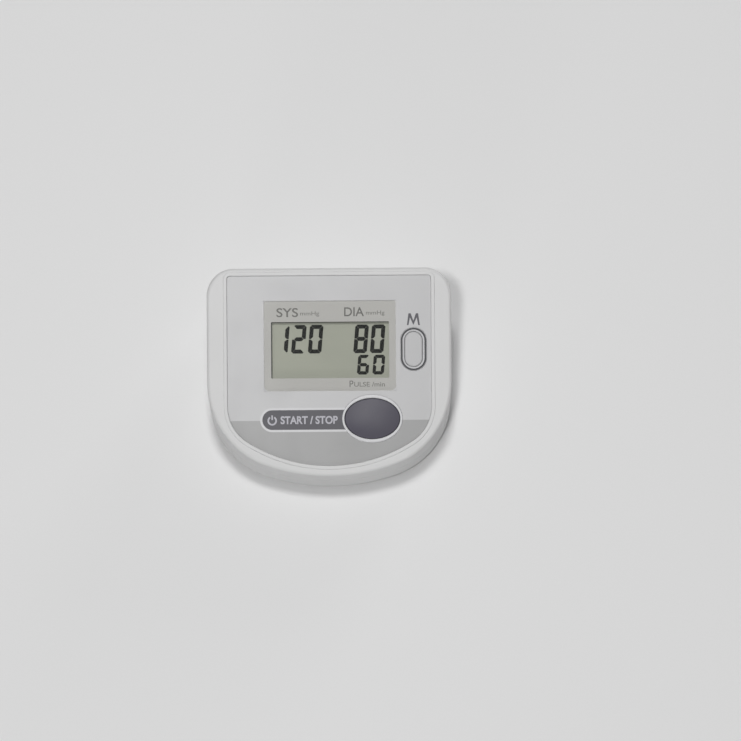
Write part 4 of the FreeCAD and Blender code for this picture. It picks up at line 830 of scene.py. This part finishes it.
builder = bmesh.new()
skin(builder, rings)
replaced = ["start_button"]
finished("start_cap", builder, cap_dark, "start_button", replaced, 50.0, laid=DECK)


# --- Memory button ----------------------------------------------------------------------------
# A small upright cap with round ends, moulded in grey ABS, in a ring of its own. The ring has a
# dark band round its edge, and an M stands printed above it.
MEMORY, MEMORY_STRAIGHT, MEMORY_HOLE = (44.1, 11.375), 9.0, 4.82
MEMORY_WIDE, MEMORY_EDGE, BAND_IN, BAND_OUT = 2.08, 0.3, 0.9, 1.85
M_LEFT, M_RIGHT, M_LOW, M_HIGH, M_STROKE = 40.7, 47.5, 23.9, 30.1, 0.85
M_SHOULDER, M_INSIDE, M_NOTCH, M_POINT, M_FORK = 2.05, 1.65, 2.2, 0.1, 2.3


def upright(out, level, radius=MEMORY_HOLE, steps=36):
    """A ring of points round an upright shape with round ends."""
    ring = []
    for side in (0, 1):
        for step in range(steps + 1):
            turn = math.pi * (side + step / steps)
            up = MEMORY[1] + (0.5 - side) * MEMORY_STRAIGHT + (radius + out) * math.sin(turn)
            ring.append((MEMORY[0] + (radius + out) * math.cos(turn), up, level))
    return ring


builder = bmesh.new()
skin(builder, rounded_ring(upright, MEMORY_WIDE, RING_FOOT, RING_TOP, MEMORY_EDGE), capped=False)
ring_grey = moulded(
    "ring_grey", tint(190, 190, 192), 0.42, {"Specular IOR Level": 0.35},
    depth=0.006, grain=1800.0, mottle=0.02,
)
finished("memory_ring", builder, ring_grey, "case", ["memory_bezel"], laid=DECK)
builder = bmesh.new()
rings = [upright(out, RING_TOP) for out in (BAND_IN, BAND_OUT)]
rings += [upright(out, RING_TOP + INK) for out in (BAND_OUT, BAND_IN)]
skin(builder, rings, capped=False)
band_ink = moulded(
    "band_ink", tint(60, 61, 64), 0.5, {"Specular IOR Level": 0.3},
    depth=0.006, mottle=0.04, dust=0.05,
)
finished("memory_band", builder, band_ink, "case", laid=DECK)
cap_grey = moulded("cap_grey", tint(178, 178, 179), 0.4, depth=0.006, dust=0.08)
dress(cap_grey, "memory_button")
half_wide = (M_LEFT + M_RIGHT) / 2 - M_LEFT
under = (
    (0.0, M_LOW), (M_STROKE, M_LOW), (M_INSIDE, M_HIGH - M_NOTCH), (half_wide, M_LOW + M_POINT)
)
over = ((half_wide, M_LOW + M_FORK), (M_SHOULDER, M_HIGH), (M_STROKE, M_HIGH))
outline = [(M_LEFT + east, up) for east, up in under]
outline += [(M_RIGHT - east, up) for east, up in under[2::-1]]
outline += [(M_RIGHT - east, up) for east, up in over[::-1]]
outline += [(M_LEFT + east, up) for east, up in over[1:]]
builder = bmesh.new()
slab(builder, outline, PANEL_TOP, PANEL_TOP + INK)
finished("memory_letter", builder, dark_ink, "case", laid=DECK)


# --- Case screws ------------------------------------------------------------------------------
# Four zinc-plated self-tapping screws with cross recesses, driven up through wells in the tray
# into the posts of the upper case.
POSTS = ((-55.0, 42.0), (55.0, 42.0), (-42.0, -33.0), (42.0, -33.0))
SCREW_PROFILE = (
    (0.05, 5.9), (1.6, 5.9), (2.3, 6.15), (2.7, 6.7), (2.8, 7.3),
    (2.8, 8.0), (1.45, 8.0), (1.45, 22.2), (0.4, 23.0), (0.05, 23.0),
)
SCREW_POINTS, RECESS_LONG, RECESS_WIDE, RECESS_FROM, RECESS_TO = 48, 1.5, 0.32, 5.0, 7.0
builder = bmesh.new()
for across, back in POSTS:
    rings = [oval(across, back, level, radius, count=SCREW_POINTS) for radius, level in SCREW_PROFILE]
    skin(builder, rings)
screws = finished("case_screws_dressed", builder, zinc, "case", ["case_screws"])
builder = bmesh.new()
for across, back in POSTS:
    for wide, tall in ((RECESS_LONG, RECESS_WIDE), (RECESS_WIDE, RECESS_LONG)):
        left, right, front, rear = across - wide, across + wide, back - tall, back + tall
        blade = ((left, front), (right, front), (right, rear), (left, rear))
        slab(builder, blade, RECESS_FROM, RECESS_TO)
cutter_mesh = bpy.data.meshes.new("recess_cutter")
bmesh.ops.recalc_face_normals(builder, faces=builder.faces)
builder.to_mesh(cutter_mesh)
builder.free()
cutter_mesh.transform(Matrix.Scale(0.001, 4))
cutter = bpy.data.objects.new("recess_cutter", cutter_mesh)
bpy.context.scene.collection.objects.link(cutter)
recess = screws.modifiers.new("cross_recess", "BOOLEAN")
recess.operation, recess.solver, recess.use_self, recess.object = "DIFFERENCE", "EXACT", True, cutter
cut_mesh = bpy.data.meshes.new_from_object(screws.evaluated_get(bpy.context.evaluated_depsgraph_get()))
screws.modifiers.clear()
screws.data = cut_mesh
bpy.data.objects.remove(cutter)


# --- Floor, light and camera ------------------------------------------------------------------
# A plain pale table top, two soft lamps above, one toward the rear and one toward the front, weak
# ones low in front and behind for the walls, and a camera that looks square at the deck.
FLOOR_REACH, FLOOR_DROP = 3.0, 0.0002
BACKGROUND, SKY_LIGHT = 0.672, 0.12
# Each lamp's name, place and side in metres, and its power in watts.
LAMP_AIM = Vector((0, 0, 0.04))
LAMPS = (
    ("top_lamp", (-0.05, 0.42, 2.4), 0.36, 22.8),
    ("face_lamp", (-0.29, -0.68, 2.36), 0.22, 19.6),
    ("front_lamp", (-0.7, -2.6, 0.2), 0.7, 14.8),
    ("rear_lamp", (1.8, 2.8, 0.46), 1.2, 24.0),
)
LENS_LENGTH, SENSOR, FRAME_WIDTH = 135.0, 36.0, 0.3903
LOOK_DOWN, LOOK_ROUND = math.pi / 2 - DECK_TILT, math.radians(-0.45)
AIM_LEVEL, AIM_ASIDE = 0.0294, Vector((0.0215, 0.00395, 0))

floor_paint, tree, shader = surface("floor_paint", {"Specular IOR Level": 0.2})
speckle = noise(tree, add(tree, "TexCoord")["Object"], 900.0, 2.0)
wire(tree, shader, {
    "Base Color": mingle(tree, speckle, tint(229, 229, 229), tint(232, 232, 232)),
    "Roughness": spread(tree, speckle, 0.3, 0.7, 0.7, 0.85),
})
builder = bmesh.new()
bmesh.ops.create_grid(builder, x_segments=8, y_segments=8, size=FLOOR_REACH)
floor_mesh = bpy.data.meshes.new("floor")
builder.to_mesh(floor_mesh)
builder.free()
floor_mesh.materials.append(floor_paint)
floor = bpy.data.objects.new("floor", floor_mesh)
floor.location = (0, 0, -FLOOR_DROP)
bpy.context.scene.collection.objects.link(floor)
floor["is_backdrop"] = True

sky = bpy.data.worlds.new("studio")
sky.use_nodes = True
tree = sky.node_tree
paths = add(tree, "LightPath")
direct = reckon(tree, "MAXIMUM", paths["Is Camera Ray"], paths["Is Glossy Ray"])
seen = reckon(tree, "MAXIMUM", direct, paths["Is Transmission Ray"])
lit = add(tree, "Background", {0: (1.0, 1.0, 1.0, 1.0), 1: SKY_LIGHT})[0]
shown = add(tree, "Background", {0: (BACKGROUND, BACKGROUND, BACKGROUND, 1.0), 1: 1.0})[0]
chosen = add(tree, "MixShader", {0: seen, 1: lit, 2: shown})[0]
tree.links.new(chosen, tree.nodes["World Output"].inputs["Surface"])
bpy.context.scene.world = sky

for name, place, size, power in LAMPS:
    light = bpy.data.lights.new(name, "AREA")
    light.size, light.energy = size, power
    holder = bpy.data.objects.new(name, light)
    holder.location = place
    holder.rotation_euler = (LAMP_AIM - Vector(place)).to_track_quat("-Z", "Y").to_euler()
    bpy.context.scene.collection.objects.link(holder)

camera = bpy.data.objects.new("camera", bpy.data.cameras.new("camera"))
camera.data.lens, camera.data.sensor_width = LENS_LENGTH, SENSOR
bpy.context.scene.collection.objects.link(camera)
level = math.cos(LOOK_DOWN)
back = Vector((math.sin(LOOK_ROUND) * level, -math.cos(LOOK_ROUND) * level, math.sin(LOOK_DOWN)))
turned = (-back).to_track_quat("-Z", "Y")
aim = Vector((0, 0, AIM_LEVEL)) + turned @ AIM_ASIDE
camera.rotation_mode = "QUATERNION"
camera.rotation_quaternion = turned
camera.location = aim + back * (LENS_LENGTH / SENSOR * FRAME_WIDTH)
bpy.context.scene.camera = camera
bpy.context.scene.view_settings.view_transform = "Standard"

size = {"cad": cad_box, "visual": [list(corner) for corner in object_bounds()]}
